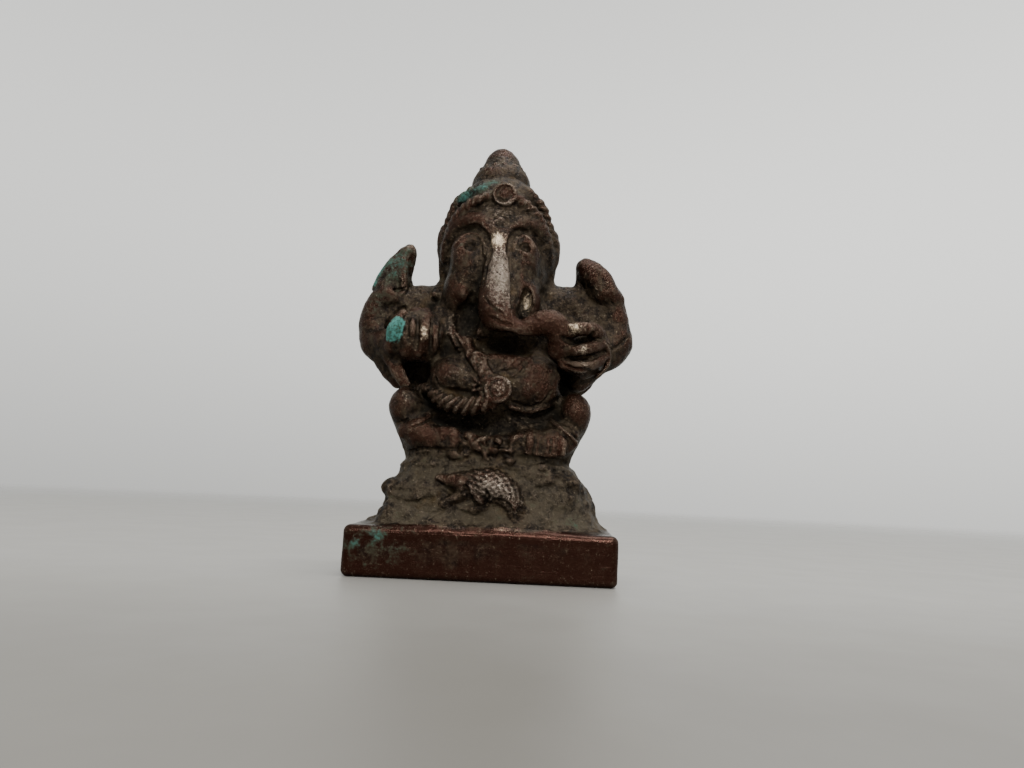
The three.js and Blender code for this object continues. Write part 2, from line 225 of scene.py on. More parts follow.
def leaf(at, outline, thickness, midrib):
    """An upright plate that thins from its middle towards its edge. The outline is (x, z)."""
    edge = smooth_path([*outline, outline[0]], 5)[:-1]
    low = np.array([edge[:, 0].min(), -thickness / 2, edge[:, 1].min()])
    high = np.array([edge[:, 0].max(), thickness / 2, edge[:, 1].max()])

    def distance(x, y, z):
        px, pz = x - at[0], z - at[2]
        best = np.full(np.broadcast_shapes(px.shape, pz.shape), 1e3)
        inside = np.zeros(best.shape, bool)
        for (ax, az), (bx, bz) in zip(edge, np.roll(edge, -1, 0)):
            ex, ez = bx - ax, bz - az
            share = np.clip(((px - ax) * ex + (pz - az) * ez) / (ex**2 + ez**2), 0, 1)
            best = np.minimum(best, np.hypot(px - ax - share * ex, pz - az - share * ez))
            crosses = (az > pz) != (bz > pz)
            inside ^= crosses & (px < ex * (pz - az) / (ez if ez else 1e-9) + ax)
        flat = np.where(inside, -best, best)
        body = thickness / 2 * np.clip(-flat / midrib, 0, 1) ** 0.5
        return np.maximum(flat, (np.abs(y - at[1]) - body) * 0.8)

    return at + low, at + high, distance


def ring(at, offset, radius, thickness):
    """A ring that faces forwards."""
    middle = np.asarray(at) + offset
    reach = np.array([radius + thickness, thickness, radius + thickness])

    def distance(x, y, z):
        spread = np.hypot(x - middle[0], z - middle[2]) - radius
        return np.hypot(spread, y - middle[1]) - thickness

    return middle - reach, middle + reach, distance


# ---------------------------------------------------------------- the clay


def smooth_min(a, b, blend):
    """The smaller of two distances, rounded off where they are nearly the same."""
    share = np.clip(0.5 + 0.5 * (b - a) / blend, 0, 1)
    return b + (a - b) * share - blend * share * (1 - share)


def softened(field, passes=1, stride=1):
    """A blurred copy: each pass averages neighbours that are stride cells apart."""
    for _ in range(passes):
        for axis in range(3):
            ahead = np.roll(field, -stride, axis)
            behind = np.roll(field, stride, axis)
            field = 0.5 * field + 0.25 * (ahead + behind)
    return field


class Clay:
    """A block of space that holds, at every cell, the distance to the sculpted surface."""

    def __init__(self, low, high):
        self.low = np.asarray(low, np.float32)
        self.shape = tuple(np.ceil((np.asarray(high) - self.low) / CELL).astype(int) + 1)
        self.field = np.full(self.shape, FAR, np.float32)
        self.nearest = np.full(self.shape, FAR, np.float32)
        self.second = np.full(self.shape, FAR, np.float32)
        self.owner = np.full(self.shape, -1, np.int8)
        self.elements = {}

    def window(self, low, high, margin=MARGIN):
        """The cells round a box, as slices of the grid and as the places of its cells in mm."""
        first = np.floor((np.asarray(low) - margin - self.low) / CELL).astype(int)
        last = np.ceil((np.asarray(high) + margin - self.low) / CELL).astype(int) + 1
        first = np.clip(first, 0, self.shape)
        last = np.clip(last, 0, self.shape)
        cut = tuple(slice(a, b) for a, b in zip(first, last))
        ticks = [self.low[i] + CELL * np.arange(first[i], last[i], dtype=np.float32) for i in range(3)]
        return cut, np.meshgrid(*ticks, indexing="ij", sparse=True)

    def add(self, name, forms, blend=0.6, own_blend=0.5):
        """Melts an element's forms together, and then into what is there already."""
        low = np.min([form[0] for form in forms], axis=0)
        high = np.max([form[1] for form in forms], axis=0)
        cut, _ = self.window(low, high)
        own = np.full(tuple(s.stop - s.start for s in cut), FAR, np.float32)
        for form_low, form_high, distance in forms:
            part, grid = self.window(form_low, form_high)
            inner = tuple(slice(p.start - c.start, p.stop - c.start) for p, c in zip(part, cut))
            own[inner] = smooth_min(own[inner], distance(*grid).astype(np.float32), own_blend)
        index = len(self.elements)
        self.elements[name] = (index, cut, own)
        self.field[cut] = smooth_min(self.field[cut], own, blend)
        nearest, second = self.nearest[cut], self.second[cut]
        closer = own < nearest
        self.second[cut] = np.where(closer, nearest, np.minimum(second, own))
        self.owner[cut] = np.where(closer, index, self.owner[cut])
        self.nearest[cut] = np.minimum(nearest, own)

    def press_on(self, form, blend=0.3, sign=1):
        """Melts a small form on to the surface, or cuts it out of the surface where sign is -1."""
        low, high, distance = form
        cut, grid = self.window(low, high, DETAIL_MARGIN)
        amount = distance(*grid).astype(np.float32)
        self.field[cut] = sign * smooth_min(sign * self.field[cut], amount, blend)

    def carve(self, form, blend=0.3):
        self.press_on(form, blend, sign=-1)

    def front(self, x, z):
        """Where a line from straight ahead first meets the surface, in mm."""
        i, k = (int(round((value - self.low[axis]) / CELL)) for value, axis in ((x, 0), (z, 2)))
        column = self.field[i, :, k]
        j = int(np.argmax(column < 0))
        return self.low[1] + CELL * (j - column[j] / (column[j] - column[j - 1]))

    def laid(self, width, path):
        """A thin cord with tapered ends that lies on the front of the clay, along a path of (x, z)."""
        at = underside()
        across = smooth_path(path, 3)
        depths = [self.front(at[0] + x, at[2] + z) - at[1] for x, z in across]
        depths = np.convolve(np.pad(depths, 1, "edge"), [0.25, 0.5, 0.25], "valid")
        tapered = [0.6, *[1.0] * (len(across) - 2), 0.6]
        stations = [(x, y, z, width * t) for (x, z), y, t in zip(across, depths, tapered)]
        return cord(at, stations, per_span=1)

    def share(self, name):
        """How far each cell is one element's, from 0 to 1, with a soft edge."""
        index = self.elements[name][0]
        return softened((self.owner == index).astype(np.float32), 3)

    def survey(self):
        """Keeps blurred copies of the finished surface and of the rock's share, which age() reads."""
        self.fine = softened(self.field, 6)
        self.filled = softened(np.clip(0.5 - self.field / (2 * CELL), 0, 1), 3)
        for stride in (2, 4, 6, 8):
            self.filled = softened(self.filled, 1, stride)
        self.rock = softened(self.share("rock_mound"), 3, 4)

    def piece_field(self, name):
        """One element's share of the surface, closed off where its neighbours begin."""
        index, cut, own = self.elements[name]
        mine = self.owner[cut] == index
        beyond = (own - np.where(mine, self.second[cut], self.nearest[cut])) / 2
        outer = self.field[cut] + SINK * np.maximum(beyond, 0)
        return cut, np.maximum(outer, beyond - OVERLAP)

    def sample(self, values, points):
        """Values of a grid at points in mm, between its cells."""
        place = (points - self.low) / CELL
        base = np.clip(np.floor(place).astype(int), 0, np.array(self.shape) - 2)
        part = (place - base).astype(np.float32)
        total = np.zeros(len(points), np.float32)
        for corner in np.ndindex(2, 2, 2):
            weight = np.prod(np.where(corner, part, 1 - part), axis=1)
            total += weight * values[tuple((base + corner).T)]
        return total


def grain(shape, size, seed):
    """Smooth noise from -1 to 1 over a grid, with lumps about size mm across."""
    chance = np.random.default_rng(seed)
    counts = [int(n * CELL / size) + 4 for n in shape]
    noise = chance.uniform(-1, 1, counts).astype(np.float32)
    for axis, (n, count) in enumerate(zip(shape, counts)):
        place = np.arange(n) * CELL / size + 1
        base = np.minimum(place.astype(int), count - 2)
        part = place - base
        part = (part * part * (3 - 2 * part)).astype(np.float32)
        pick = np.zeros((n, count), np.float32)
        pick[np.arange(n), base] = 1 - part
        pick[np.arange(n), base + 1] = part
        noise = np.moveaxis(np.tensordot(pick, noise, (1, axis)), 0, axis)
    return noise


# ---------------------------------------------------------------- base


def plinth():
    return [block(centre("plinth"), half_size("plinth"), 1.0)]


def rock_mound():
    at = centre("rock_mound")
    rows = [
        (-6.3, -18.7, 18.9, 12.3),
        (-5.0, -17.6, 18.3, 11.9),
        (-3.6, -16.9, 17.6, 11.5),
        (-2.2, -16.3, 17.1, 11.2),
        (0.0, -15.4, 16.3, 10.7),
        (2.0, -14.5, 14.9, 10.1),
        (2.9, -14.1, 14.1, 9.8),
        (3.4, -14.2, 13.9, 9.9),
        (4.0, -13.7, 13.3, 9.7),
        (4.4, -13.2, 12.7, 9.3),
        (5.8, -13.0, 12.5, 9.2),
    ]
    ledge = [
        (-15.2, -6.6, -0.2, 1.1),
        (-12.6, -7.9, -0.9, 1.5),
        (-9.6, -9.2, -1.0, 1.5),
        (-6.8, -9.8, -0.5, 1.0),
    ]
    slope = [(-14.0, -8.8, -4.6, 1.6), (-10.0, -9.8, -4.9, 1.5), (-5.0, -10.4, -5.4, 1.2)]
    rim = [(6.6, -9.0, 2.9, 0.8), (9.6, -8.6, 2.6, 1.0), (12.6, -7.2, 1.8, 1.0)]
    return [heap(at, rows, 3.2), *(cord(at, path) for path in (ledge, slope, rim))]


def rat():
    """In relief on the mound's front, running towards its own right with its snout raised."""
    at = centre("rat")
    back = [
        (-2.0, 0.9, 1.4, 2.0),
        (0.6, 0.8, 1.5, 2.5),
        (2.9, 0.8, 0.9, 2.3),
        (4.7, 0.7, -0.6, 1.7),
        (5.6, 0.5, -2.2, 1.1),
        (5.7, 0.2, -3.8, 0.7),
    ]
    rump = [(3.0, -0.2, 0.0, 1.0), (4.4, -0.4, -1.2, 0.9), (5.0, -0.1, -3.2, 0.6)]
    return [
        cord(at, back, twist=(0.8, 0.14, 0.9)),
        cord(at, rump),
        ball(at, (-2.7, 0.4, 1.9), (1.8, 1.5, 1.5)),
        cord(at, [(-3.5, 0.4, 2.2, 1.1), (-5.0, 0.5, 2.1, 0.8), (-6.6, 0.7, 2.3, 0.5)]),  # snout
        cord(at, [(-2.8, 0.2, 0.2, 0.9), (-4.2, 0.1, -0.6, 0.8), (-5.6, 0.3, -1.5, 0.6)]),  # paw
        cord(at, [(0.2, 0.2, -1.4, 0.9), (-1.2, 0.2, -1.9, 0.7), (-2.8, 0.3, -2.3, 0.5)]),
        ball(at, (-0.7, -0.6, 0.3), (0.8, 0.8, 1.9), (0, -37, 0)),  # ear
    ]


# ---------------------------------------------------------------- body


def torso():
    """Chest, shoulders and belly, and the web of metal that joins the arms to them."""
    at = centre("torso")
    shoulders = [(-12.6, 3.2, 8.8, 2.9), (-6, 3.2, 9.4, 3.4), (6, 3.2, 9.8, 3.4), (12.8, 3.2, 9.7, 2.9)]
    return [
        ball(at, (0.3, 0.1, -5.4), (10.8, 7.6, 7.0)),  # belly
        ball(at, (0, 1.2, 3.4), (11.8, 6.2, 8.6)),  # chest
        ball(at, (0.6, 4.0, -0.6), (17.4, 3.4, 9.4)),  # web
        ball(at, (-5.2, -3.2, -4.7), (4.4, 4.0, 2.8), (0, 14, 0)),
        ball(at, (6.6, -2.8, -4.8), (4.9, 4.2, 4.8), (0, -8, 0)),
        ball(at, (-5.6, 5.0, 4.6), (4.4, 2.6, 4.2), (0, 20, 0)),  # shoulder blades
        ball(at, (5.8, 5.0, 4.8), (4.4, 2.6, 4.2), (0, -20, 0)),
        cord(at, shoulders),
    ]


def lap_cloth():
    """Folded cloth over the hips, gathered into a jumble of small lumps between the feet."""
    at = centre("lap_cloth")
    rows = [
        (-4.8, -12.6, 12.8, 9.2),
        (-3.4, -12.5, 12.9, 9.2),
        (-2.0, -12.8, 13.4, 8.8),
        (-0.4, -13.2, 13.8, 8.0),
        (1.6, -13.0, 13.6, 7.0),
        (4.0, -11.4, 11.8, 5.4),
    ]
    fold = [(-10.4, -6.0, -2.0, 2.2), (-5, -7.2, -2.4, 2.1), (0, -7.8, -2.7, 2.0), (5, -7.3, -2.3, 2.1)]
    lumps = [
        (-5.2, -9.0, -1.6, 0.8, 40),
        (-3.9, -9.2, -2.9, 1.1, -30),
        (-2.6, -9.4, -1.4, 0.7, 15),
        (-1.5, -9.8, -3.0, 0.8, 60),
        (-0.3, -9.6, -1.9, 0.9, -20),
        (0.6, -9.9, -3.7, 1.2, -15),
        (2.0, -9.5, -2.2, 0.7, 50),
        (3.1, -9.5, -3.5, 0.8, 10),
        (4.2, -9.0, -1.7, 0.9, -40),
        (-4.6, -9.6, -4.6, 0.9, 10),
        (3.8, -9.6, -5.0, 0.8, -10),
    ]
    jumble = [ball(at, (x, y, z), (1.25 * r, 0.8, 0.7 * r), (0, lean, 0)) for x, y, z, r, lean in lumps]
    hems = []
    for drop in (0.0, 1.5):
        side = (9.7, 6.0 + 0.3 * drop, -0.2 - drop)
        behind = (4.0, 8.1 + 0.45 * drop, -1.0 - drop)
        half = [(11.2, 3.2, 0.9), side, behind]
        ends = [(-x, y, z) for x, y, z in half] + half[::-1]
        hems.append(cord(at, [(*place, 0.5) for place in ends]))
    return [heap(at, rows, 2.6), cord(at, fold), *jumble, *hems]


def leg(node, side):
    """Thigh, bent knee and shin, with a doubled hem that slants across below the knee."""
    at = centre(node)
    knee = (side * 1.3, -1.7, 1.3)
    thigh = [(-side * 5.5, 4.4, 1.2, 3.2), (-side * 1.4, 1.4, 1.3, 3.0), (*knee, 2.3)]
    calf = [(side * 1.0, -0.4, -0.4, 2.5), (-side * 0.2, -0.8, -3.2, 2.3), (-side * 1.2, -0.4, -5.4, 2.1)]
    shin = [(0.0, -2.2, -2.0, 2.3), (-side * 1.7, -3.3, -3.8, 2.0), (-side * 4.0, -4.2, -5.2, 1.5)]
    forms = [cord(at, thigh), ball(at, knee, (2.6, 2.9, 3.2)), cord(at, calf), cord(at, shin)]
    for drop in (0, 0.95):
        inner = (-side * 3.0, -2.0 - 0.4 * drop, 0.6 - drop, 0.45)
        middle = (-side * 1.0, -4.3 - 0.8 * drop, -1.1 - drop, 0.45)
        outer = (side * 1.3, -3.9, -2.5 - drop, 0.4)
        forms.append(cord(at, [inner, middle, outer]))
    return forms


def right_foot():
    at = centre("right_foot")
    toes = [
        cord(at, [(0.9 + 0.2 * i, 0.1, 1.0 - 0.8 * i, 0.5), (2.7, -0.2, 0.7 - 0.8 * i, 0.45)])
        for i in range(4)
    ]
    return [cord(at, [(-2.4, 2.0, 0.4, 1.7), (0.2, 1.1, -0.4, 1.7), (2.2, 0.7, -0.6, 1.3)]), *toes]


def left_foot():
    """Flat on its sole, so that the toes show as upright ridges."""
    at = centre("left_foot")
    toes = [
        cord(at, [(x, 0.9, 1.2, 0.42), (x - 0.1, 0.0, 0.0, 0.5), (x - 0.2, -0.1, -1.8, 0.45)])
        for x in np.linspace(-0.9, 4.1, 5)
    ]
    return [ball(at, (1.4, 1.9, -0.4), (4.0, 1.8, 2.0)), *toes]


# ---------------------------------------------------------------- head


def head():
    at = centre("head")
    locks = []
    for angle in np.radians(range(-60, 61, 15)):
        spread = [(0.88, 5.8, 1.0), (1.0, 1.4, 1.1), (0.93, -2.2, 1.1), (0.7, -5.4, 0.9)]
        path = [(8.3 * k * math.sin(angle), 0.3 + 7.4 * k * math.cos(angle), z, r) for k, z, r in spread]
        locks.append(cord(at, path, twist=(1.6, 0.14, 0.8)))
    return [
        ball(at, (0, 0.3, 1.4), (8.3, 7.4, 8.9)),
        ball(at, (0.3, -3.0, 3.4), (6.2, 4.9, 4.2)),  # forehead
        ball(at, (0.2, -2.5, -4.0), (8.2, 6.0, 7.4)),  # face
        ball(at, (0, -1.7, -8.2), (7.8, 5.9, 5.2)),  # jaw
        ball(at, (-5.6, -4.2, -8.4), (2.7, 3.8, 4.6), (0, 6, 0)),
        ball(at, (3.6, -6.4, -8.6), (1.9, 2.8, 6.0)),  # between the trunk and the tusk
        ball(at, (5.3, -6.5, -10.6), (2.0, 2.7, 3.7)),  # the sheath of the whole tusk
        ball(at, (0.4, -7.3, 2.3), (1.0, 0.75, 0.9)),  # mark on the forehead
        *locks,
    ]


def brow(node, side, spread):
    """The lower edge of the forehead, arched over the eye."""
    at = centre(node)
    ridge = [
        (-3.6, -1.5, -3.4, 0.5),
        (-3.4, -1.6, -0.9, 0.8),
        (-2.3, -1.5, 1.5, 1.1),
        (-0.2, -0.6, 2.5, 1.2),
        (2.0, 0.8, 1.6, 1.1),
        (3.5, 2.2, -0.8, 0.8),
        (4.0, 3.0, -3.0, 0.6),
    ]
    return [cord(at, [(side * spread * x, y, z, r) for x, y, z, r in ridge])]


def eye(node, side, width):
    """A long bulge that runs down into the cheek, with the small eye near its top."""
    at = centre(node)
    return [
        ball(at, (-side * 0.6, 0.7, -2.9), (width, 3.3, 5.4), (0, side * 4, 0)),
        ball(at, (-side * 0.6, -2.0, -1.9), (0.85, 0.6, 0.7)),
    ]


def ear(node, side):
    """A fan laid back against the side of the head, with a raised front edge."""
    at = centre(node)
    edge = [
        (side * 0.1, -2.0, 4.2, 0.7),
        (side * 0.4, -2.1, 2.4, 0.8),
        (side * 0.5, -1.9, 0.8, 0.8),
        (side * 0.1, -1.7, -1.6, 0.8),
        (-side * 0.2, -1.2, -4.4, 0.8),
    ]
    fan = ball(at, (-side * 0.9, 0.4, -0.4), (1.8, 4.2, 5.6), (0, side * 3, -side * 12))
    return [fan, cord(at, edge)]


def trunk():
    """Down the middle of the face, then curled to the figure's left to dip into its hand."""
    at = centre("trunk")
    path = [
        (-5.2, 3.9, 10.2, 1.8),
        (-5.1, 2.4, 7.4, 1.65),
        (-5.0, 1.3, 4.2, 1.85),
        (-5.1, 0.9, 0.8, 2.25),
        (-5.2, 0.8, -2.6, 2.7),
        (-4.9, 0.7, -5.6, 2.9),
        (-3.6, 0.4, -7.9, 2.3),
        (-1.4, 0.0, -8.9, 1.75),
        (0.6, -0.1, -8.2, 1.75),
        (2.6, -0.2, -7.6, 2.1),
        (4.2, 0.0, -8.1, 2.2),
        (5.0, 0.4, -9.6, 2.1),
        (4.9, 1.0, -11.4, 1.8),
    ]
    return [cord(at, path, flat=1.2)]


def left_tusk():
    at = centre("left_tusk")
    return [cord(at, [(0.4, 0.2, 1.4, 0.55), (0.45, -0.9, -0.2, 0.9), (0.2, -0.8, -1.7, 0.75)])]


def right_tusk_stub():
    at = centre("right_tusk_stub")
    return [cord(at, [(0.4, 0.4, 1.2, 1.0), (0.1, -0.5, -0.6, 1.0)])]


def hair_band(node, side, depth):
    """Two twisted strands, from the crown's medallion round to the ear."""
    at = centre(node)
    inner = [
        (-side * 3.6, -3.1, 3.1, 0.85),
        (-side * 1.9, -2.9, 2.4, 0.95),
        (side * 0.4, -1.7, 0.6, 1.0),
        (side * 1.9, -0.3, -1.8, 1.0),
        (side * 2.8, 1.2, -4.4, 0.9),
    ]
    outer = [
        (-side * 1.2, -1.0, 4.8, 0.9),
        (side * 1.0, 0.4, 3.4, 1.0),
        (side * 2.2, 1.3, 0.8, 1.0),
        (side * 3.1, 2.0, -2.4, 0.9),
    ]
    return [cord(at, inner, twist=(1.2, depth, 0.7)), cord(at, outer, twist=(1.3, depth, 0.7))]


# ---------------------------------------------------------------- crown


def diadem():
    """A thick roll, which rises at the front into a rounded plate behind the medallion."""
    at = centre("diadem")
    profile = [(-3.2, 7.3), (-2.2, 7.6), (-1.1, 7.2), (0.0, 6.5), (0.9, 5.8), (1.6, 5.0)]
    plate = ball(at, (0.3, -4.0, -0.9), (5.6, 3.1, 3.3))
    return [turned(at, profile), plate]


def crown_tier():
    at = centre("crown_tier")
    profile = [(-2.8, 5.1), (-1.4, 5.1), (-0.2, 4.95), (0.6, 4.6), (1.2, 4.1), (2.2, 3.3)]
    beads = [
        ball(at, (3.9 * math.sin(a), -3.9 * math.cos(a), 1.1), (0.5, 0.5, 0.5))
        for a in np.radians(np.arange(0, 360, 24) + 8)
    ]
    return [turned(at, profile), *beads]


def crown_finial():
    profile = [(-3.0, 3.5), (-2.0, 3.5), (-0.9, 3.2), (0.3, 2.6), (1.1, 1.95), (1.6, 1.2), (1.85, 0.3)]
    return [turned(centre("crown_finial"), profile)]


def crown_medallion():
    at = centre("crown_medallion") + [0.5, -0.45, -1.4]
    return [
        ball(at, (0, 0.2, 0), (2.2, 0.9, 2.1)),
        ring(at, (0, -0.4, 0), 1.7, 0.34),
        ball(at, (0, -0.3, 0), (1.0, 0.6, 1.0)),
    ]


# ---------------------------------------------------------------- arms


def upper_right_arm():
    """Bent upwards at the elbow, with the fist just below the axe."""
    at = centre("upper_right_arm")
    elbow = (-2.8, -1.3, -2.4, 2.8)
    knuckles = [
        cord(at, [(-2.9, -3.0, 2.6 - i, 0.5), (-0.8, -3.8, 2.5 - i, 0.55), (1.2, -3.1, 2.9 - i, 0.45)])
        for i in (0, 1.1)
    ]
    return [
        cord(at, [(4.8, -0.2, 1.6, 2.9), (0.5, -0.6, -0.8, 3.1), elbow]),
        cord(at, [elbow, (-2.6, -1.8, 0.4, 2.5), (-1.2, -2.0, 2.9, 2.2)]),
        ball(at, (1.4, -0.9, 0.6), (4.8, 2.4, 3.9)),
        *knuckles,
    ]


def upper_left_arm():
    """Bent upwards at the elbow, with a fold at the wrist just below the bud."""
    at = centre("upper_left_arm")
    elbow = (3.2, -1.1, -2.7, 2.75)
    return [
        cord(at, [(-5.0, -0.2, 3.0, 2.9), (-0.6, -0.6, 0.2, 3.2), elbow]),
        cord(at, [elbow, (3.0, -1.6, 0.8, 2.4), (2.0, -1.8, 4.2, 2.3)]),
        ball(at, (-0.8, -1.0, 1.6), (5.0, 2.3, 4.6)),
        cord(at, [(-0.8, -3.0, 5.2, 0.6), (1.6, -4.0, 4.6, 0.65), (3.6, -2.8, 4.4, 0.5)]),
        cord(at, [(1.2, -3.2, -3.8, 0.7), (3.6, -2.6, -2.6, 0.7), (5.0, -1.2, -1.6, 0.5)]),
    ]


def lower_arm(node, side, elbow_height, tuck):
    """From the shoulder out to the elbow, forwards to the hand, and down to meet the knee."""
    at = centre(node)
    elbow = (side * 3.6, 1.4, elbow_height, 2.5)
    upper = [(-side * 3.5, 2.2, 4.6, 2.8), (side * 0.8, 1.8, 2.6, 3.0), elbow]
    forearm = [elbow, (side * 0.9, -1.5, 0.0, 2.4), (-side * 1.8, -3.2, 0.0, 2.1)]
    low_middle = (side * (1.4 - tuck), 0.8, tuck - 3.0, 2.0)
    above_knee = (-side * (0.5 + tuck), 0.2, tuck - 5.3, 1.7)
    return [cord(at, upper), cord(at, forearm), cord(at, [elbow, low_middle, above_knee])]


def axe_blade():
    outline = [
        (2.2, 4.3),
        (3.2, 4.1),
        (3.7, 2.9),
        (3.6, 1.0),
        (3.2, -1.4),
        (3.4, -3.2),
        (1.0, -4.4),
        (-2.2, -4.6),
        (-3.4, -4.0),
        (-3.1, -2.6),
        (-2.2, -0.8),
        (-1.3, 0.9),
        (0.0, 2.4),
        (1.2, 3.6),
    ]
    at = centre("axe_blade")
    socket = [(2.2, -0.7, 3.0, 0.5), (1.9, -1.2, -0.4, 0.6), (2.2, -1.2, -3.6, 0.7)]
    return [leaf(at, outline, 3.4, 2.2), cord(at, socket)]


def axe_handle():
    """A flat bar, from the hand down to the knee."""
    at = centre("axe_handle")
    path = [(-1.3, 0.3, 2.8), (0.0, 0.1, -0.2), (1.8, -0.4, -3.2), (2.6, -0.4, -4.5)]
    return [cord(at, [(x + shift, y, z, 0.62) for x, y, z in path]) for shift in (-0.55, 0.0, 0.55)]


def lotus_bud():
    """One rounded mass, with a lower one behind its inner edge."""
    at = centre("lotus_bud")
    return [
        cord(at, [(-1.7, 0.2, 2.0, 1.7), (-0.6, -0.1, 0.5, 2.3), (1.0, -0.2, -2.2, 2.4)]),
        cord(at, [(-2.2, 0.9, 1.6, 1.1), (-2.3, 1.0, -0.6, 1.2), (-2.2, 0.9, -2.6, 1.3)]),
        cord(at, [(-0.2, -1.2, 1.6, 0.8), (1.2, -1.5, -0.2, 1.0), (2.1, -1.5, -2.4, 1.1)]),
    ]


def right_hand():
    """Raised with its palm forwards: the thumb is on the outside, and the fingers point upwards."""
    at = centre("right_hand")
    return [
        ball(at, (0.6, 1.2, -0.8), (4.1, 2.8, 4.4)),
        cord(at, [(-3.9, 0.3, -2.7, 1.0), (-3.0, -0.5, -0.1, 1.4), (-2.1, -0.1, 2.5, 0.9)]),
        cord(at, [(-1.1, -0.3, -3.3, 1.1), (-0.6, -0.9, -0.3, 1.3), (-0.4, 1.3, 3.2, 1.0)]),
        cord(at, [(0.9, -0.4, -3.4, 0.85), (1.7, -1.3, -0.6, 0.95), (1.5, 1.2, 3.2, 0.8)]),
        cord(at, [(2.5, 0.2, -3.2, 1.0), (3.2, -0.3, -0.9, 1.1), (3.0, 1.5, 2.2, 0.9)]),
    ]


def left_hand():
    """Cupped under the tip of the trunk, with the fingers curled round its front."""
    at = centre("left_hand")
    fingers = [
        [(-1.9, -1.2, 3.1, 1.0), (-0.2, -2.2, 3.3, 1.15), (2.0, -1.2, 3.2, 1.1), (3.4, 0.8, 2.8, 0.9)],
        [(-3.1, -0.9, 0.2, 0.85), (-0.4, -2.1, 0.0, 1.0), (2.2, -1.0, 0.9, 1.0), (3.9, 1.0, 2.0, 0.8)],
        [(-2.6, -0.6, -2.1, 0.85), (0.0, -1.6, -2.5, 1.0), (2.4, -0.4, -1.5, 1.0), (3.9, 1.4, 0.0, 0.8)],
    ]
    cuff = [(3.6, -0.2, 1.4, 0.3), (4.4, 1.4, 0.3, 0.35), (4.2, 1.6, -1.8, 0.35), (2.6, 1.8, -3.6, 0.3)]
    palm = ball(at, (0.4, 2.2, 0.2), (3.8, 3.4, 4.0))
    return [palm, *(cord(at, path) for path in (*fingers, cuff))]


# ---------------------------------------------------------------- ornaments


def belt_medallion():
    """A double ring round a boss, with arcs of small beads beyond its right side."""
    at = centre("belt_medallion") + [0, 0, -0.4]
    beads = []
    for reach, angles in ((2.75, range(165, 265, 17)), (3.75, range(160, 225, 13))):
        for angle in np.radians(angles):
            place = (reach * math.cos(angle), 0.8 + 0.12 * reach, reach * math.sin(angle) + 0.1)
            beads.append(ball(at, place, (0.5, 0.5, 0.4), (0, -np.degrees(angle), 0)))
    return [
        ball(at, (0, 0.9, 0), (2.3, 1.1, 2.3)),
        ring(at, (0, 0.3, 0), 1.75, 0.42),
        ring(at, (0, 0.0, 0), 0.95, 0.26),
        ball(at, (0, 0.1, 0), 0.42),
        *beads,
    ]


def snake_belt():
    """A thick rope on the figure's right, and three thin folds on its left, joined round the back."""
    at = centre("snake_belt")
    rope = [
        (-9.4, 2.6, 2.0, 0.7),
        (-8.4, 1.4, 1.0, 0.9),
        (-7.0, 0.8, 0.1, 1.15),
        (-5.2, 0.0, -0.5, 1.3),
        (-3.2, -0.7, -0.8, 1.35),
        (-1.2, -1.3, -0.6, 1.3),
        (0.4, -1.6, 0.0, 1.1),
        (1.4, -1.7, 0.8, 0.8),
    ]
    folds = [
        [(3.4, 0.0, -0.4, 0.4), (6.0, 1.0, -0.9, 0.45), (8.2, 1.1, -0.4, 0.45), (10.4, 2.3, 0.8, 0.4)],
        [(3.4, 1.4, -2.1, 0.4), (6.0, 1.8, -2.6, 0.45), (8.2, 2.5, -2.1, 0.45), (10.4, 3.0, -0.4, 0.4)],
        [(3.4, 1.3, -3.0, 0.4), (6.0, 1.3, -3.5, 0.45), (8.2, 2.0, -3.0, 0.45), (10.4, 3.0, -1.0, 0.4)],
    ]
    back = [
        (10.3, 2.4, 0.6, 0.8),
        (11.6, 7.5, 1.3, 0.9),
        (8.0, 12.4, 1.6, 0.9),
        (0.0, 13.9, 1.8, 0.9),
        (-8.0, 12.4, 2.0, 0.9),
        (-11.6, 7.5, 2.2, 0.9),
        (-9.8, 2.8, 2.1, 0.9),
    ]
    ridges = (1.3, 0.26, 0.6)
    return [cord(at, rope, twist=ridges), cord(at, back, twist=ridges), *(cord(at, fold) for fold in folds)]


def sacred_thread():
    """A broad ribbed band from the right shoulder down to the belt's medallion, and on round the back."""
    at = centre("sacred_thread")
    front = [
        (-3.8, 2.9, 5.4, 1.0),
        (-1.3, 1.6, 2.0, 1.3),
        (1.2, 0.3, -1.4, 1.65),
        (2.8, -1.1, -3.8, 1.75),
        (4.3, -2.2, -6.3, 1.6),
        (5.3, -2.6, -7.5, 1.2),
    ]
    back = [
        (-5.0, 4.6, 8.2, 0.8),
        (-4.3, 8.6, 11.2, 0.8),
        (-2.8, 11.5, 8.2, 0.8),
        (0.4, 12.7, 4.2, 0.8),
        (4.6, 12.9, 0.1, 0.8),
        (8.8, 12.8, -3.6, 0.8),
        (12.2, 12.0, -6.6, 0.8),
        (15.4, 10.6, -8.8, 0.7),
    ]
    return [cord(at, front, twist=(0.9, 0.22, 0.4), flat=1.7), cord(at, back, twist=(0.9, 0.14, 0.7))]


def necklace():
    """The left side of the V that it makes with the thread."""
    at = centre("necklace")
    side = [(-1.2, -0.8, -3.8, 0.4), (0.2, -0.1, -2.6, 0.5), (1.1, 0.9, -0.8, 0.5), (1.6, 2.2, 1.0, 0.4)]
    chest = ball(at, (-3.0, 1.0, -0.8), (3.2, 1.6, 3.0))
    return [cord(at, side), chest]


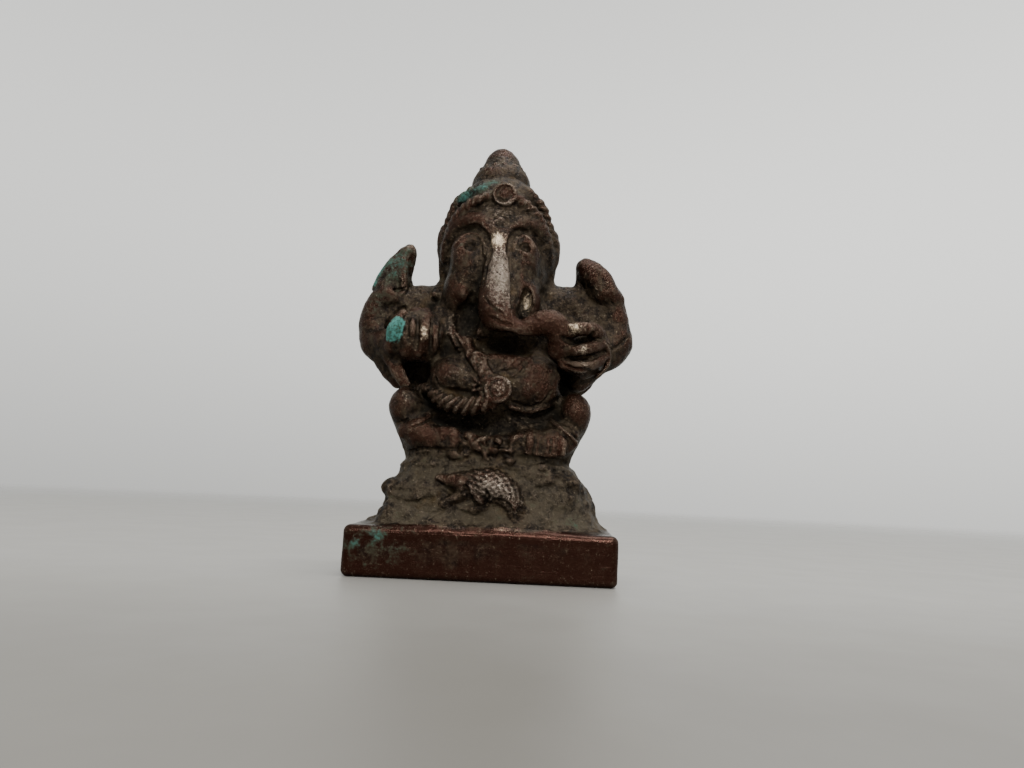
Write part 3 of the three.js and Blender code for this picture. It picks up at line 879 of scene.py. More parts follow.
ELEMENTS = {
    "plinth": (plinth, {}),
    "rock_mound": (rock_mound, {"blend": 1.8, "own_blend": 1.6}),
    "torso": (torso, {"own_blend": 1.6}),
    "lap_cloth": (lap_cloth, {"blend": 1.0, "own_blend": 0.7}),
    "right_leg": (lambda: leg("right_leg", -1), {"blend": 1.0, "own_blend": 0.7}),
    "left_leg": (lambda: leg("left_leg", 1), {"blend": 1.0, "own_blend": 0.7}),
    "right_foot": (right_foot, {"blend": 1.5, "own_blend": 0.8}),
    "left_foot": (left_foot, {"blend": 1.8, "own_blend": 0.7}),
    "rat": (rat, {"blend": 0.7, "own_blend": 0.4}),
    "head": (head, {"blend": 1.2, "own_blend": 1.4}),
    "diadem": (diadem, {"blend": 0.7, "own_blend": 0.8}),
    "crown_tier": (crown_tier, {"blend": 0.4, "own_blend": 0.3}),
    "crown_finial": (crown_finial, {"blend": 0.4}),
    "crown_medallion": (crown_medallion, {"blend": 0.5, "own_blend": 0.25}),
    "trunk": (trunk, {"blend": 0.9}),
    "right_tusk_stub": (right_tusk_stub, {"blend": 0.8}),
    "left_tusk": (left_tusk, {"blend": 0.2}),
    "right_brow": (lambda: brow("right_brow", -1, 1.0), {"blend": 1.6}),
    "left_brow": (lambda: brow("left_brow", 1, 0.87), {"blend": 1.6}),
    "right_eye": (lambda: eye("right_eye", -1, 3.2), {"blend": 0.7, "own_blend": 0.5}),
    "left_eye": (lambda: eye("left_eye", 1, 2.6), {"blend": 0.7, "own_blend": 0.5}),
    "right_hair_band": (lambda: hair_band("right_hair_band", -1, 0.08), {"blend": 0.6}),
    "left_hair_band": (lambda: hair_band("left_hair_band", 1, 0.12), {"blend": 0.8}),
    "right_ear": (lambda: ear("right_ear", -1), {"blend": 1.2, "own_blend": 0.8}),
    "left_ear": (lambda: ear("left_ear", 1), {"blend": 1.2, "own_blend": 0.8}),
    "axe_handle": (axe_handle, {"blend": 0.5, "own_blend": 0.3}),
    "upper_right_arm": (upper_right_arm, {"blend": 1.6, "own_blend": 1.0}),
    "upper_left_arm": (upper_left_arm, {"blend": 1.6, "own_blend": 1.0}),
    "lower_right_arm": (lambda: lower_arm("lower_right_arm", -1, 0.8, 0.0), {"blend": 1.4, "own_blend": 1.0}),
    "lower_left_arm": (lambda: lower_arm("lower_left_arm", 1, 0.9, 0.8), {"blend": 1.4, "own_blend": 1.0}),
    "axe_blade": (axe_blade, {"blend": 0.8, "own_blend": 0.6}),
    "lotus_bud": (lotus_bud, {"blend": 0.9, "own_blend": 0.6}),
    "right_hand": (right_hand, {"blend": 1.3, "own_blend": 0.7}),
    "left_hand": (left_hand, {"blend": 0.8, "own_blend": 0.4}),
    "belt_medallion": (belt_medallion, {"blend": 0.35, "own_blend": 0.2}),
    "sacred_thread": (sacred_thread, {"blend": 0.5, "own_blend": 0.3}),
    "necklace": (necklace, {"blend": 0.35, "own_blend": 0.2}),
    "snake_belt": (snake_belt, {"blend": 0.5, "own_blend": 0.4}),
}


# Thin lines in the front of the clay, cut into it or laid on it: (half width, [(x, z), ...]), in mm
# across from the middle of the plinth and up from its underside.
RIGHT_ARCH = [
    (-1, 49.6),
    (-1.1, 51.2),
    (-1.6, 53),
    (-2.8, 54.5),
    (-4.3, 54.9),
    (-5.9, 54.2),
    (-7.1, 52.8),
    (-7.7, 51),
]
GROOVES = [
    # the eyes: the arch over each, the pupil, and the line above it
    (0.52, RIGHT_ARCH),
    (0.48, [(2, 49.4), (2, 52.2), (2.8, 54), (4, 54.6), (5.3, 54), (6.4, 52.8), (6.9, 50.8)]),
    (0.85, [(-4.6, 51.5), (-3.9, 51.6)]),
    (0.8, [(4.3, 51.6), (5, 51.4)]),
    (0.2, [(3.6, 51.4), (4.4, 52.3), (5.5, 52)]),
    (0.2, [(-5.6, 51.4), (-4.6, 52.5), (-3.3, 52.3)]),
    # the mark on the forehead
    (0.22, [(-0.9, 55.6), (-0.4, 56.6), (0.35, 57), (1.1, 56.6), (1.6, 55.6)]),
    (0.18, [(-0.4, 55.1), (0.35, 54.8), (1.1, 55.1)]),
    # down both sides of the trunk, and two creases across its bend
    (0.3, [(-1, 49.8), (-1.5, 47.2), (-2, 44.6)]),
    (0.3, [(2.1, 49.6), (2.5, 46.6), (2.8, 43.6), (3, 41.2)]),
    (0.16, [(-1.4, 42.6), (-0.2, 41), (1.8, 39.6)]),
    (0.16, [(-0.6, 39.6), (1.2, 38.6), (3.6, 38.2)]),
    # the edges of the thread and of the necklace
    (0.4, [(-6.2, 37.4), (-4.8, 34.5), (-3.4, 32.1), (-1.7, 29.9)]),
    (0.3, [(-1.3, 35.4), (-0.3, 32.8), (0.8, 30.9)]),
    (0.36, [(5.6, 33.4), (5.1, 31.8), (4.1, 30.6), (3, 29.8)]),
    # below the right side of the belly, and the folds of the belt on its left side
    (0.42, [(-8.3, 30.2), (-8, 29.2), (-5.9, 28.1), (-3.1, 27.7), (-1.6, 27.3)]),
    (0.32, [(3.4, 26.8), (4.2, 26.5), (6.1, 26.2), (7.8, 26.7), (9, 27.7), (9.7, 29)]),
    (0.3, [(2.8, 25.3), (4.6, 24.3), (6.5, 24.1), (8.4, 24.7), (9.8, 25.9)]),
    (0.25, [(5.3, 23.7), (6.6, 23.2), (7.8, 23.3), (9, 24)]),
    # the cloth below the knees, and along the bottoms of the shins
    (0.24, [(9, 24.1), (11.2, 22.5), (13.4, 20.6)]),
    (0.22, [(10, 24.3), (12.2, 22.9), (14.2, 21.3)]),
    (0.35, [(-14.1, 22.9), (-12, 23.4), (-9.6, 24.6)]),
    (0.25, [(-12, 21.9), (-10.2, 22.6), (-8.5, 23.9)]),
    (0.3, [(-12.4, 18.5), (-9.6, 19), (-6.6, 18.8), (-4.6, 19.1)]),
    (0.28, [(3.6, 18.1), (6, 18.4), (9.6, 18.2), (12.6, 18)]),
    # between the toes of the left foot
    *[(0.15, [(x, 21.3), (x + 0.1, 20.2), (x - 0.1, 19.1)]) for x in (7.3, 8.1, 8.9, 9.7, 10.5)],
    # cracks in the rock: below the feet, on its right, on its left and under the rat
    (0.3, [(-12.4, 16.5), (-10.4, 17), (-8.5, 16.9)]),
    (0.3, [(6.7, 16.6), (9.4, 16.2), (11.8, 16.6)]),
    (0.34, [(-14.4, 13), (-13.2, 12.5), (-11.3, 12.6)]),
    (0.4, [(-13.6, 11.2), (-11.8, 10.8), (-9.9, 10.9), (-7.4, 11.6)]),
    (0.55, [(-9.7, 10.7), (-8.9, 10.1), (-7.7, 10.6)]),
    (0.4, [(-8.6, 9.7), (-7.2, 9.4), (-5.8, 9.9)]),
    (0.28, [(7.5, 13.7), (9.2, 14.3), (10.6, 14.8), (11.6, 15.6)]),
    (0.22, [(8.8, 15.2), (10.6, 15.6), (12, 14.8)]),
    (0.25, [(-4.6, 10.6), (-2, 9.4), (1.4, 9.2)]),
    # the rat's jaw, its neck, its flank and its hind leg
    (0.38, [(-7.1, 14.3), (-6.2, 13.5), (-5.5, 13.1), (-4.3, 12.8)]),
    (0.42, [(-2.7, 13.6), (-1.9, 12.2), (-0.9, 11)]),
    (0.28, [(0.4, 13.2), (0.9, 12.2)]),
    (0.32, [(1.6, 11.8), (3.3, 11.5), (4.1, 10.7), (4.4, 9.4)]),
    # between the fingers of the left hand, and the crease of the left elbow
    (0.42, [(10.6, 36.8), (12.4, 36.5), (14.6, 37.2), (16, 38)]),
    (0.42, [(11.6, 33.9), (13.8, 33.5), (16.2, 34.3)]),
    (0.34, [(11.4, 32.8), (13.4, 32.1), (16.2, 32.4)]),
    (0.3, [(17.8, 36.6), (19.6, 36.8), (22.2, 39.2)]),
    # between the fingers of the right hand
    (0.34, [(-13.3, 39.4), (-13.3, 37.2), (-12.9, 35.2)]),
    (0.34, [(-11.9, 39.6), (-11.6, 37), (-11.8, 34.4)]),
    (0.34, [(-9.7, 39.8), (-9.6, 36.6), (-9.5, 33.6)]),
    (0.28, [(-8.2, 39.2), (-8.3, 36.6), (-8, 34.4)]),
]
RIDGES = [
    # the necklace's hatching
    *[(0.36, [(1.1 + 0.7 * i, 31.1 + 0.3 * i), (2.2 + 0.75 * i, 33.1 + 0.2 * i)]) for i in range(5)],
    (0.3, [(17.2, 37.3), (18.4, 35.6), (18.5, 33.7), (16.8, 31.5)]),  # the left wrist
    # on the left of the rock
    (0.35, [(7.6, 17.4), (9.8, 17), (11.6, 17.2)]),
    (0.3, [(8, 14.4), (9.8, 15), (11.2, 14.6), (12.2, 13.6)]),
    (0.25, [(9.6, 24.3), (11.8, 22.7), (13.9, 20.9)]),  # the hem below the left knee
    # the upper eyelids
    (0.26, [(-1.9, 50), (-2, 51.8), (-3, 53.4), (-4.3, 53.9), (-5.7, 53.2), (-6.7, 51.6)]),
    (0.24, [(2.9, 50), (2.9, 52), (3.9, 53.6), (5.1, 53.2), (6, 51.8)]),
]


def carvings():
    """Holes and undercuts: (form, blend)."""
    at = centre("head")
    yield ball(at, (5.1, -9.4, -11.1), (1.15, 1.6, 2.6)), 0.3  # round the whole tusk
    yield ball(at, (-4.0, -6.2, -13.8), (2.0, 1.4, 2.9), (0, 12, 0)), 1.4  # below the broken one
    at = centre("torso")
    yield cord(at, [(0, 8.4, 8.0, 0.5), (0, 9.4, 0, 0.6), (0, 8.6, -6, 0.5)]), 0.8  # spine
    yield ball(at, (2.2, -5.6, 0.8), (5.2, 2.6, 1.8)), 1.4  # in the shadow of the trunk
    at = centre("lap_cloth")
    under = [(-8.2, -6.4, 1.0, 0.8), (-4.2, -8.0, 0.4, 1.5), (0, -8.6, 0.0, 1.5), (3.8, -8.2, 0.4, 0.9)]
    yield cord(at, under), 0.6  # beneath the belly
    for x, z in ((-3.2, -2.2), (-2.4, -4.2), (1.5, -3.0), (2.6, -4.6)):
        yield ball(at, (x, -10.3, z), (0.5, 0.6, 0.25), (0, 30, 0)), 0.4
    yield ball(centre("right_hand"), (0.8, 1.4, -6.2), (2.2, 2.6, 1.6), (0, 20, 0)), 0.6
    yield ball(centre("left_hand"), (-2.0, 2.4, -4.6), (2.2, 2.6, 1.5), (0, -30, 0)), 0.6
    at = centre("upper_right_arm")
    yield cord(at, [(1.9, -3.4, 0.4, 0.4), (0.2, -4.0, -1.4, 0.45), (-0.8, -3.8, -3.6, 0.4)]), 0.6
    yield ball(at, (0.9, -3.6, 3.4), (1.1, 0.6, 0.35), (0, -15, 0)), 0.4  # between the fist and the axe


# ---------------------------------------------------------------- one casting, divided into pieces

# The casting's unevenness, as layers of (size of the lumps, their depth) in mm.
ROUGHNESS = [(3.4, 0.16), (1.3, 0.1), (0.55, 0.06)]
ROCK = [(2.8, 0.3), (1.1, 0.2)]
JUMBLE = [(1.5, 0.5), (0.8, 0.3)]
FILED_SMOOTH = 0.8  # the share of the roughness that filing took off the plinth


def lumps(shape, layers, seed):
    """Layers of noise, each with a seed of its own."""
    return sum(depth * grain(shape, size, seed + i) for i, (size, depth) in enumerate(layers))


def cast():
    """All of the elements, melted together, carved and roughened."""
    shapes = {name: make() for name, (make, _) in ELEMENTS.items()}
    every = [form for forms in shapes.values() for form in forms]
    low = np.min([form[0] for form in every], axis=0) - 1.6
    high = np.max([form[1] for form in every], axis=0) + 1.6
    clay = Clay(low, high)
    for name, (_, how) in ELEMENTS.items():
        clay.add(name, shapes[name], **how)
    for form, blend in carvings():
        clay.carve(form, blend)
    for line in GROOVES:
        clay.carve(clay.laid(*line))
    for line in RIDGES:
        clay.press_on(clay.laid(*line))
    clay.field += (1 - FILED_SMOOTH * clay.share("plinth")) * lumps(clay.shape, ROUGHNESS, 11)
    clay.field += clay.share("rock_mound") * lumps(clay.shape, ROCK, 23)
    low, high, distance = ball(centre("lap_cloth"), (-0.4, -9, -3.4), (4.4, 3, 2.4))  # between the feet
    cut, grid = clay.window(low, high)
    near = np.clip(0.5 - distance(*grid), 0, 1)
    clay.field[cut] += near * lumps(near.shape, JUMBLE, 41)
    clay.survey()
    return clay


def polygons(field, low):
    """The zero surface of a grid, as points in mm and outward faces of four corners."""
    grid = openvdb.FloatGrid(FAR)
    grid.copyFromArray(np.ascontiguousarray(field))
    points, _, faces = grid.convertToPolygons()
    points = np.asarray(points, float)
    faces = np.asarray(faces, np.int64)
    corners = points[faces]
    across = np.cross(corners[:, 2] - corners[:, 0], corners[:, 3] - corners[:, 1])
    if (corners.mean(1) * across).sum() < 0:
        faces = faces[:, ::-1]
    return points * CELL + low, faces


def islands(count, faces):
    """The connected part that each point belongs to."""
    label = np.arange(count)
    while True:
        lowest = label[faces].min(1)
        fresh = label.copy()
        for corner in faces.T:
            np.minimum.at(fresh, corner, lowest)
        fresh = fresh[fresh]
        if (fresh == label).all():
            return label
        label = fresh


def without_crumbs(points, faces, fewest=150):
    """Leaves out the tiny loose parts that the division makes."""
    label = islands(len(points), faces)
    sizes = np.bincount(label[faces[:, 0]], minlength=len(points))
    faces = faces[sizes[label[faces[:, 0]]] >= fewest]
    used = np.unique(faces)
    renumbered = np.zeros(len(points), np.int64)
    renumbered[used] = np.arange(len(used))
    return points[used], renumbered[faces]


def slopes(clay, points):
    """Unit outward directions of the whole casting's surface."""
    step = CELL * 0.8
    gradient = np.empty((len(points), 3), np.float32)
    for axis in range(3):
        nudge = np.zeros(3)
        nudge[axis] = step
        gradient[:, axis] = clay.sample(clay.field, points + nudge) - clay.sample(clay.field, points - nudge)
    return gradient / np.maximum(np.linalg.norm(gradient, axis=1, keepdims=True), 1e-6)


def mesh_of(name, points, faces):
    """A smooth-shaded mesh of four-cornered faces, in metres."""
    mesh = bpy.data.meshes.new(name)
    mesh.vertices.add(len(points))
    mesh.vertices.foreach_set("co", (points * MM).astype(np.float32).ravel())
    mesh.loops.add(faces.size)
    mesh.loops.foreach_set("vertex_index", faces.astype(np.int32).ravel())
    mesh.polygons.add(len(faces))
    mesh.polygons.foreach_set("loop_start", np.arange(0, faces.size, 4, dtype=np.int32))
    mesh.polygons.foreach_set("use_smooth", np.ones(len(faces), bool))
    mesh.update(calc_edges=True)
    mesh.validate()
    return mesh


# ---------------------------------------------------------------- age

SHARP_RIDGE = 0.12  # how far the sharpest ridges stand out of the blurred surface, in mm

# Where the verdigris lies, where handling has worn the metal and a sheen is painted, and where highlights are
# painted on
#  bare metal: (node, (x, z), reach, strength), on the side that faces forwards, or with (x, y, z).
VERDIGRIS = [
    ("diadem", (-6.4, -1.9), 1.5, 0.42),
    ("diadem", (-4.8, -0.9), 1.5, 0.44),
    ("diadem", (-2.8, 0.0), 1.5, 0.5),
    ("diadem", (-0.8, 0.9), 1.1, 0.4),
    ("right_hair_band", (-1.0, 2.2), 2.0, 0.2),
    ("axe_blade", (-1.4, 1.5), 1.2, 0.75),
    ("axe_blade", (-2.3, -0.8), 1.1, 0.6),
    ("axe_blade", (-2.9, -3.0), 1.0, 0.45),
    ("axe_blade", (0.6, 0.4), 4.5, 0.46),
    ("upper_right_arm", (-2.6, 0.5), 3.0, 0.3),
    ("plinth", (-18.3, 1.2), 1.6, 0.36),
    ("plinth", (-15.1, 2.5), 1.5, 0.34),
    ("plinth", (-12.0, 1.0), 1.6, 0.2),
    ("plinth", (-14.6, -0.4), 5.0, 0.2),
    ("rock_mound", (13.4, -4.2), 2.2, 0.28),
    ("torso", (3.0, 7.5, 4.0), 3.2, 0.45),
    ("head", (3.5, 6.5, 1.0), 2.6, 0.4),
]
THUMB_SPOT = [("right_hand", (-3.4, -1.2), 1.5, 1.0), ("right_hand", (-2.7, 0.8), 1.4, 1.0)]
# worn spots, with painted sheen on them
WORN_AND_SHEEN_SPOTS = [
    ("head", (0.3, 4.2), 4.2, 0.46),
    ("torso", (6.0, -5.5), 3.6, 0.3),
    ("torso", (-5.6, -5.0), 2.6, 0.3),
    ("upper_left_arm", (-1.6, 1.0), 4.5, 0.36),
    ("right_hand", (5.2, 1.0), 2.6, 0.4),
    ("sacred_thread", (2.6, -3.8), 3.0, 0.16),
    ("trunk", (-5.2, 3.2), 1.8, 0.4),
    ("trunk", (-4.8, 0.6), 2.6, 0.55),
    ("trunk", (-4.4, -2.2), 2.8, 0.6),
    ("trunk", (-3.8, -5.4), 2.4, 0.4),
    ("left_hand", (0.1, -0.3), 1.2, 0.55),
    ("left_hand", (0.6, -2.9), 1.3, 0.4),
    ("belt_medallion", (0.0, -0.4), 2.6, 0.35),
    ("snake_belt", (-4.0, -0.8), 3.0, 0.2),
    ("rat", (1.2, 2.0), 2.0, 0.4),
    ("rat", (3.4, 1.6), 2.0, 0.36),
    ("rat", (5.2, 0.0), 2.2, 0.4),
    ("rat", (2.2, 0.2), 1.9, 0.3),
    ("rat", (-1.2, 0.9), 2.2, 0.4),
    ("right_leg", (-0.8, 2.8), 1.6, 0.4),
]
# painted highlights, on spots worn to bare metal
BARE_HIGHLIGHT_SPOTS = [
    ("trunk", (-5.6, 5.9), 1.2, 0.7),
    ("trunk", (-5.2, 5.0), 1.3, 0.4),
    ("left_hand", (-1.3, 3.2), 1.0, 0.7),
    ("left_hand", (0.1, -0.2), 0.8, 0.5),
    ("left_tusk", (0.4, 0.4), 1.1, 0.45),
    ("left_tusk", (0.3, -1.0), 1.1, 0.45),
    ("right_hand", (1.6, -0.2), 0.8, 0.55),
    ("right_hand", (1.7, -1.4), 0.7, 0.45),
]


def stain(clay, points, spots):
    """How strongly a table of soft round spots covers each point."""
    total = np.zeros(len(points), np.float32)
    for node, offset, reach, strength in spots:
        place = centre(node)
        if len(offset) == 3:
            place = place + offset
        else:
            x, z = place[0] + offset[0], place[2] + offset[1]
            place = np.array([x, clay.front(x, z), z])
        away = np.linalg.norm(points - place, axis=1)
        total += strength * np.exp(-((away / reach) ** 2))
    return total


def age(clay, points):
    """What each point has been through, with where highlights are painted, as named amounts for the
    materials.
    """
    here = clay.sample(clay.field, points)
    return {
        "ridge": np.clip((clay.sample(clay.fine, points) - here) / SHARP_RIDGE, -1, 1),
        "recess": np.clip((clay.sample(clay.filled, points) - 0.5) * 2, -1, 1),
        "verdigris": stain(clay, points, VERDIGRIS),
        "thumb_spot": stain(clay, points, THUMB_SPOT),
        "worn": stain(clay, points, WORN_AND_SHEEN_SPOTS),
        "bright": stain(clay, points, BARE_HIGHLIGHT_SPOTS),
        "dust": clay.sample(clay.rock, points),
    }


def make_piece(clay, name, material):
    """One node's closed mesh, with its amounts and with the whole casting's shading."""
    cut, field = clay.piece_field(name)
    low = clay.low + [s.start * CELL for s in cut]
    points, faces = without_crumbs(*polygons(field, low))
    mesh = mesh_of(f"{name}_cast", points, faces)
    for amount, values in age(clay, points).items():
        mesh.attributes.new(amount, "FLOAT", "POINT").data.foreach_set("value", values.astype(np.float32))
    mesh.normals_split_custom_set_from_vertices(slopes(clay, points))
    mesh.materials.append(material)
    piece = bpy.data.objects.new(f"{name}_cast", mesh)
    bpy.context.collection.objects.link(piece)
    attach(piece, "root")
    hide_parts(name)


# ---------------------------------------------------------------- materials


RAMP_SOCKETS = ("From Min", "From Max", "To Min", "To Max")


class Wiring:
    """Short names for building the nodes of a material or of the world."""

    def __init__(self, owner, coordinates):
        owner.use_nodes = True
        self.tree = owner.node_tree
        self.place = self.tree.nodes.new("ShaderNodeTexCoord").outputs[coordinates]

    def put(self, value, socket):
        if isinstance(value, bpy.types.NodeSocket):
            self.tree.links.new(value, socket)
        else:
            socket.default_value = value

    def amount(self, name):
        node = self.tree.nodes.new("ShaderNodeAttribute")
        node.attribute_name = name
        return node.outputs["Fac"]

    def math(self, operation, a, b=0.0):
        node = self.tree.nodes.new("ShaderNodeMath")
        node.operation = operation
        self.put(a, node.inputs[0])
        self.put(b, node.inputs[1])
        return node.outputs[0]

    def total(self, *parts):
        """The sum of numbers, outputs, and pairs of an output and what it is multiplied by."""
        result = 0.0
        for part in parts:
            if isinstance(part, tuple):
                node = self.tree.nodes.new("ShaderNodeMath")
                node.operation = "MULTIPLY_ADD"
                for socket, value in zip(node.inputs, (*part, result)):
                    self.put(value, socket)
                result = node.outputs[0]
            else:
                result = self.math("ADD", part, result)
        return result

    def noise(self, size, detail=3.0, rough=0.55, stretch=(1, 1, 1), shift=0.0):
        """Cloudy noise with features about size mm across, from 0 to 1."""
        mapping = self.tree.nodes.new("ShaderNodeMapping")
        self.put(self.place, mapping.inputs["Vector"])
        mapping.inputs["Scale"].default_value = [1 / (size * MM * s) for s in stretch]
        mapping.inputs["Location"].default_value = (shift, shift, shift)
        node = self.tree.nodes.new("ShaderNodeTexNoise")
        self.put(mapping.outputs[0], node.inputs["Vector"])
        node.inputs["Scale"].default_value = 1.0
        node.inputs["Detail"].default_value = detail
        node.inputs["Roughness"].default_value = rough
        return node.outputs[0]

    def step(self, value, low, high, out_low=0.0, out_high=1.0):
        """A smooth ramp from out_low to out_high as value goes from low to high."""
        node = self.tree.nodes.new("ShaderNodeMapRange")
        node.interpolation_type = "SMOOTHSTEP"
        self.put(value, node.inputs["Value"])
        for socket, number in zip(RAMP_SOCKETS, (low, high, out_low, out_high)):
            node.inputs[socket].default_value = number
        return node.outputs[0]

    def parts(self):
        """The three coordinates of the place."""
        split = self.tree.nodes.new("ShaderNodeSeparateXYZ")
        self.put(self.place, split.inputs[0])
        return split.outputs

    def blend(self, share, a, b, kind="RGBA"):
        node = self.tree.nodes.new("ShaderNodeMix")
        node.data_type = kind
        skip = {"FLOAT": 2, "RGBA": 6}[kind]
        self.put(share, node.inputs[0])
        self.put(a, node.inputs[skip])
        self.put(b, node.inputs[skip + 1])
        return node.outputs[{"FLOAT": 0, "RGBA": 2}[kind]]

    def coat(self, under, share, strength, over):
        """Lays a colour over another, by a share of the surface and how well it covers."""
        return self.blend(self.math("MULTIPLY", share, strength), under, over)


def linear(red, green, blue):
    """A colour given as 0-255 sRGB."""
    srgb = np.array([red, green, blue]) / 255
    return (*np.where(srgb > 0.04045, ((srgb + 0.055) / 1.055) ** 2.4, srgb / 12.92), 1.0)


UMBER = linear(62, 51, 39)
CHOCOLATE = linear(24, 18, 13)
RED_BROWN = linear(52, 30, 20)
GRIME = linear(68, 60, 46)
# painted shade: the near-black laid in the deepest hollows, where shade falls
HOLLOW_SHADE_BLACK = linear(6, 5, 4)
OCHRE = linear(92, 68, 32)
FILED_BROWN = linear(43, 18, 9)
# painted highlight colours, partly the metal's own wear: paler rubbed ridges, grey worn sheen and near-white
# bare glints
RUBBED_HIGHLIGHT = linear(98, 85, 72)
WORN_GREY_SHEEN = linear(137, 127, 115)
BARE_METAL_HIGHLIGHT = linear(222, 202, 172)
GREEN = linear(44, 62, 46)
TURQUOISE = linear(70, 128, 120)


class Bronze(Wiring):
    """Handled copper alloy: brown skin, red-brown on the smooth swellings, bare metal with painted highlights
    on the high spots, grime and verdigris in the hollows, and painted shade at the bottom of the deepest
    hollows."""

    def __init__(self, name):
        self.material = bpy.data.materials.new(name)
        super().__init__(self.material, "Object")
        self.shader = self.tree.nodes["Principled BSDF"]
        self.ridge, self.recess, self.dust = map(self.amount, ("ridge", "recess", "dust"))
        self.broad = self.noise(6.0)
        self.middle = self.noise(1.6, 4.0, shift=3.0)
        self.fine = self.noise(0.45, 4.0, 0.65, shift=7.0)
        self.speck = self.noise(0.2, 2.0, 0.6, shift=11.0)

    def skin(self, red, tint):
        """Two mottled browns, with the tint on what is smooth and swells."""
        mottle = self.step(self.total((self.middle, 0.5), (self.fine, 0.5)), 0.4, 0.6)
        smooth = self.total(self.broad, (self.recess, -1.0), (self.ridge, 0.3), (self.dust, -0.5))
        smooth = self.step(smooth, 0.85 - 0.5 * red, 1.2 - 0.5 * red)
        return self.coat(self.blend(mottle, CHOCOLATE, UMBER), smooth, 0.85, tint), smooth

    def soiled_and_shaded(self, colour, grime):
        """Dust in the hollows and on the rock, ochre stains, and near-black painted shade at the bottom of
        the deepest hollows.
        """
        dusty = self.total((self.recess, 0.9), (self.middle, 0.8), (self.broad, 0.5), (self.fine, 0.6))
        dusty = self.step(self.total(dusty, (self.dust, 0.36)), 1.5 - grime, 2.0 - grime)
        colour = self.coat(colour, dusty, 0.7, GRIME)
        stained = self.total((self.noise(4.2, 3.0, shift=19.0), 1.0), (self.recess, 0.5))
        colour = self.coat(colour, self.step(stained, 0.62, 0.85), 0.3, OCHRE)
        # painted shade: darkens the deepest hollows nearly to black, less so on the rock
        hollow_shade = self.step(self.total(self.recess, (self.dust, -0.35)), 0.1, 0.5)
        return self.coat(colour, hollow_shade, 0.92, HOLLOW_SHADE_BLACK), dusty, hollow_shade

    def handled_and_highlighted(self, colour, wear_and_sheen):
        """Paler where ridges are rubbed, with painted highlight on them; grey where hands have worn it, with
        painted sheen; and bare metal with painted highlights in a few places.
        """
        # painted highlight on the raised edges, partly real rubbing
        ridge_wear_and_highlight = self.total((self.ridge, 1.0), (self.fine, 1.5), (self.speck, 0.5), (self.recess, -0.5))
        colour = self.coat(colour, self.step(ridge_wear_and_highlight, 1.45, 2.5), 0.6 * wear_and_sheen, RUBBED_HIGHLIGHT)
        # painted sheen where hands have worn the metal
        worn_sheen_share = self.total(self.amount("worn"), (self.ridge, 0.3), (self.fine, 1.3), (self.speck, 0.9), -1.1)
        worn_sheen_share = self.math("MULTIPLY", self.step(worn_sheen_share, 0.35, 1.25), wear_and_sheen)
        colour = self.coat(colour, worn_sheen_share, 0.9, WORN_GREY_SHEEN)
        # painted highlights on spots worn to bare metal
        bright = self.total(self.amount("bright"), (self.fine, 1.6), (self.speck, 1.0), -1.3)
        return self.coat(colour, self.step(bright, 0.2, 1.0), 0.9, BARE_METAL_HIGHLIGHT), worn_sheen_share

    def corroded(self, colour):
        """Green crusts that are bluer where they are thickest, and the solid spot on the thumb."""
        verdigris = self.amount("verdigris")
        crust = self.step(self.total(verdigris, (self.middle, 1.5), (self.fine, 0.8), -1.15), 0.15, 0.75)
        bluer = self.step(self.total(verdigris, (self.fine, 0.8)), 0.7, 1.15)
        colour = self.coat(colour, crust, 0.75, self.blend(bluer, GREEN, TURQUOISE))
        spot = self.total(self.amount("thumb_spot"), (self.middle, 0.8), (self.fine, 0.6), -0.7)
        spot = self.step(spot, 0.4, 0.62)
        spot_colour = self.blend(self.step(self.fine, 0.3, 0.6), GREEN, TURQUOISE)
        return self.coat(colour, spot, 0.92, spot_colour), self.math("MAXIMUM", crust, spot)

    def relief(self, smooth, filed):
        """The finest unevenness, and level file marks where the metal is filed."""
        height = self.total((self.middle, 0.5), (self.fine, 0.55), (self.speck, 0.3), (smooth, -0.1))
        if filed:
            marks = self.noise(0.5, 2.0, 0.5, stretch=(22, 22, 0.9))
            height = self.total((height, 0.25), (marks, 0.19))
        bump = self.tree.nodes.new("ShaderNodeBump")
        bump.inputs["Distance"].default_value = 0.38 * MM
        bump.inputs["Strength"].default_value = 1.0
        self.put(height, bump.inputs["Height"])
        self.put(bump.outputs[0], self.shader.inputs["Normal"])


def bronze(name, red=0.5, grime=0.5, wear_and_sheen=1.0, tint=RED_BROWN, filed=False):
    """One finish: how red and dirty it is, how worn it is and how much painted highlight goes with the wear,
    the tint of its skin, and whether it was filed.
    """
    w = Bronze(name)
    colour, smooth = w.skin(red, tint)
    colour, dusty, hollow_shade = w.soiled_and_shaded(colour, grime)
    colour, worn_sheen_share = w.handled_and_highlighted(colour, wear_and_sheen)
    colour, crust = w.corroded(colour)
    w.put(colour, w.shader.inputs["Base Color"])
    w.shader.inputs["Specular IOR Level"].default_value = 0.45
    w.shader.inputs["Specular Tint"].default_value = linear(178, 178, 176)

    metal = w.blend(worn_sheen_share, w.step(dusty, 0.0, 1.0, 0.65, 0.2), 1.0, "FLOAT")
    w.put(w.blend(crust, metal, 0.0, "FLOAT"), w.shader.inputs["Metallic"])
    rough = w.step(w.total(w.middle, (dusty, 0.6), (smooth, -0.3)), 0.0, 1.2, 0.2, 0.62)
    for share, roughness in ((worn_sheen_share, 0.34), (hollow_shade, 0.95), (crust, 0.85)):
        rough = w.blend(share, rough, roughness, "FLOAT")
    w.put(rough, w.shader.inputs["Roughness"])
    w.relief(smooth, filed)
    return w.material


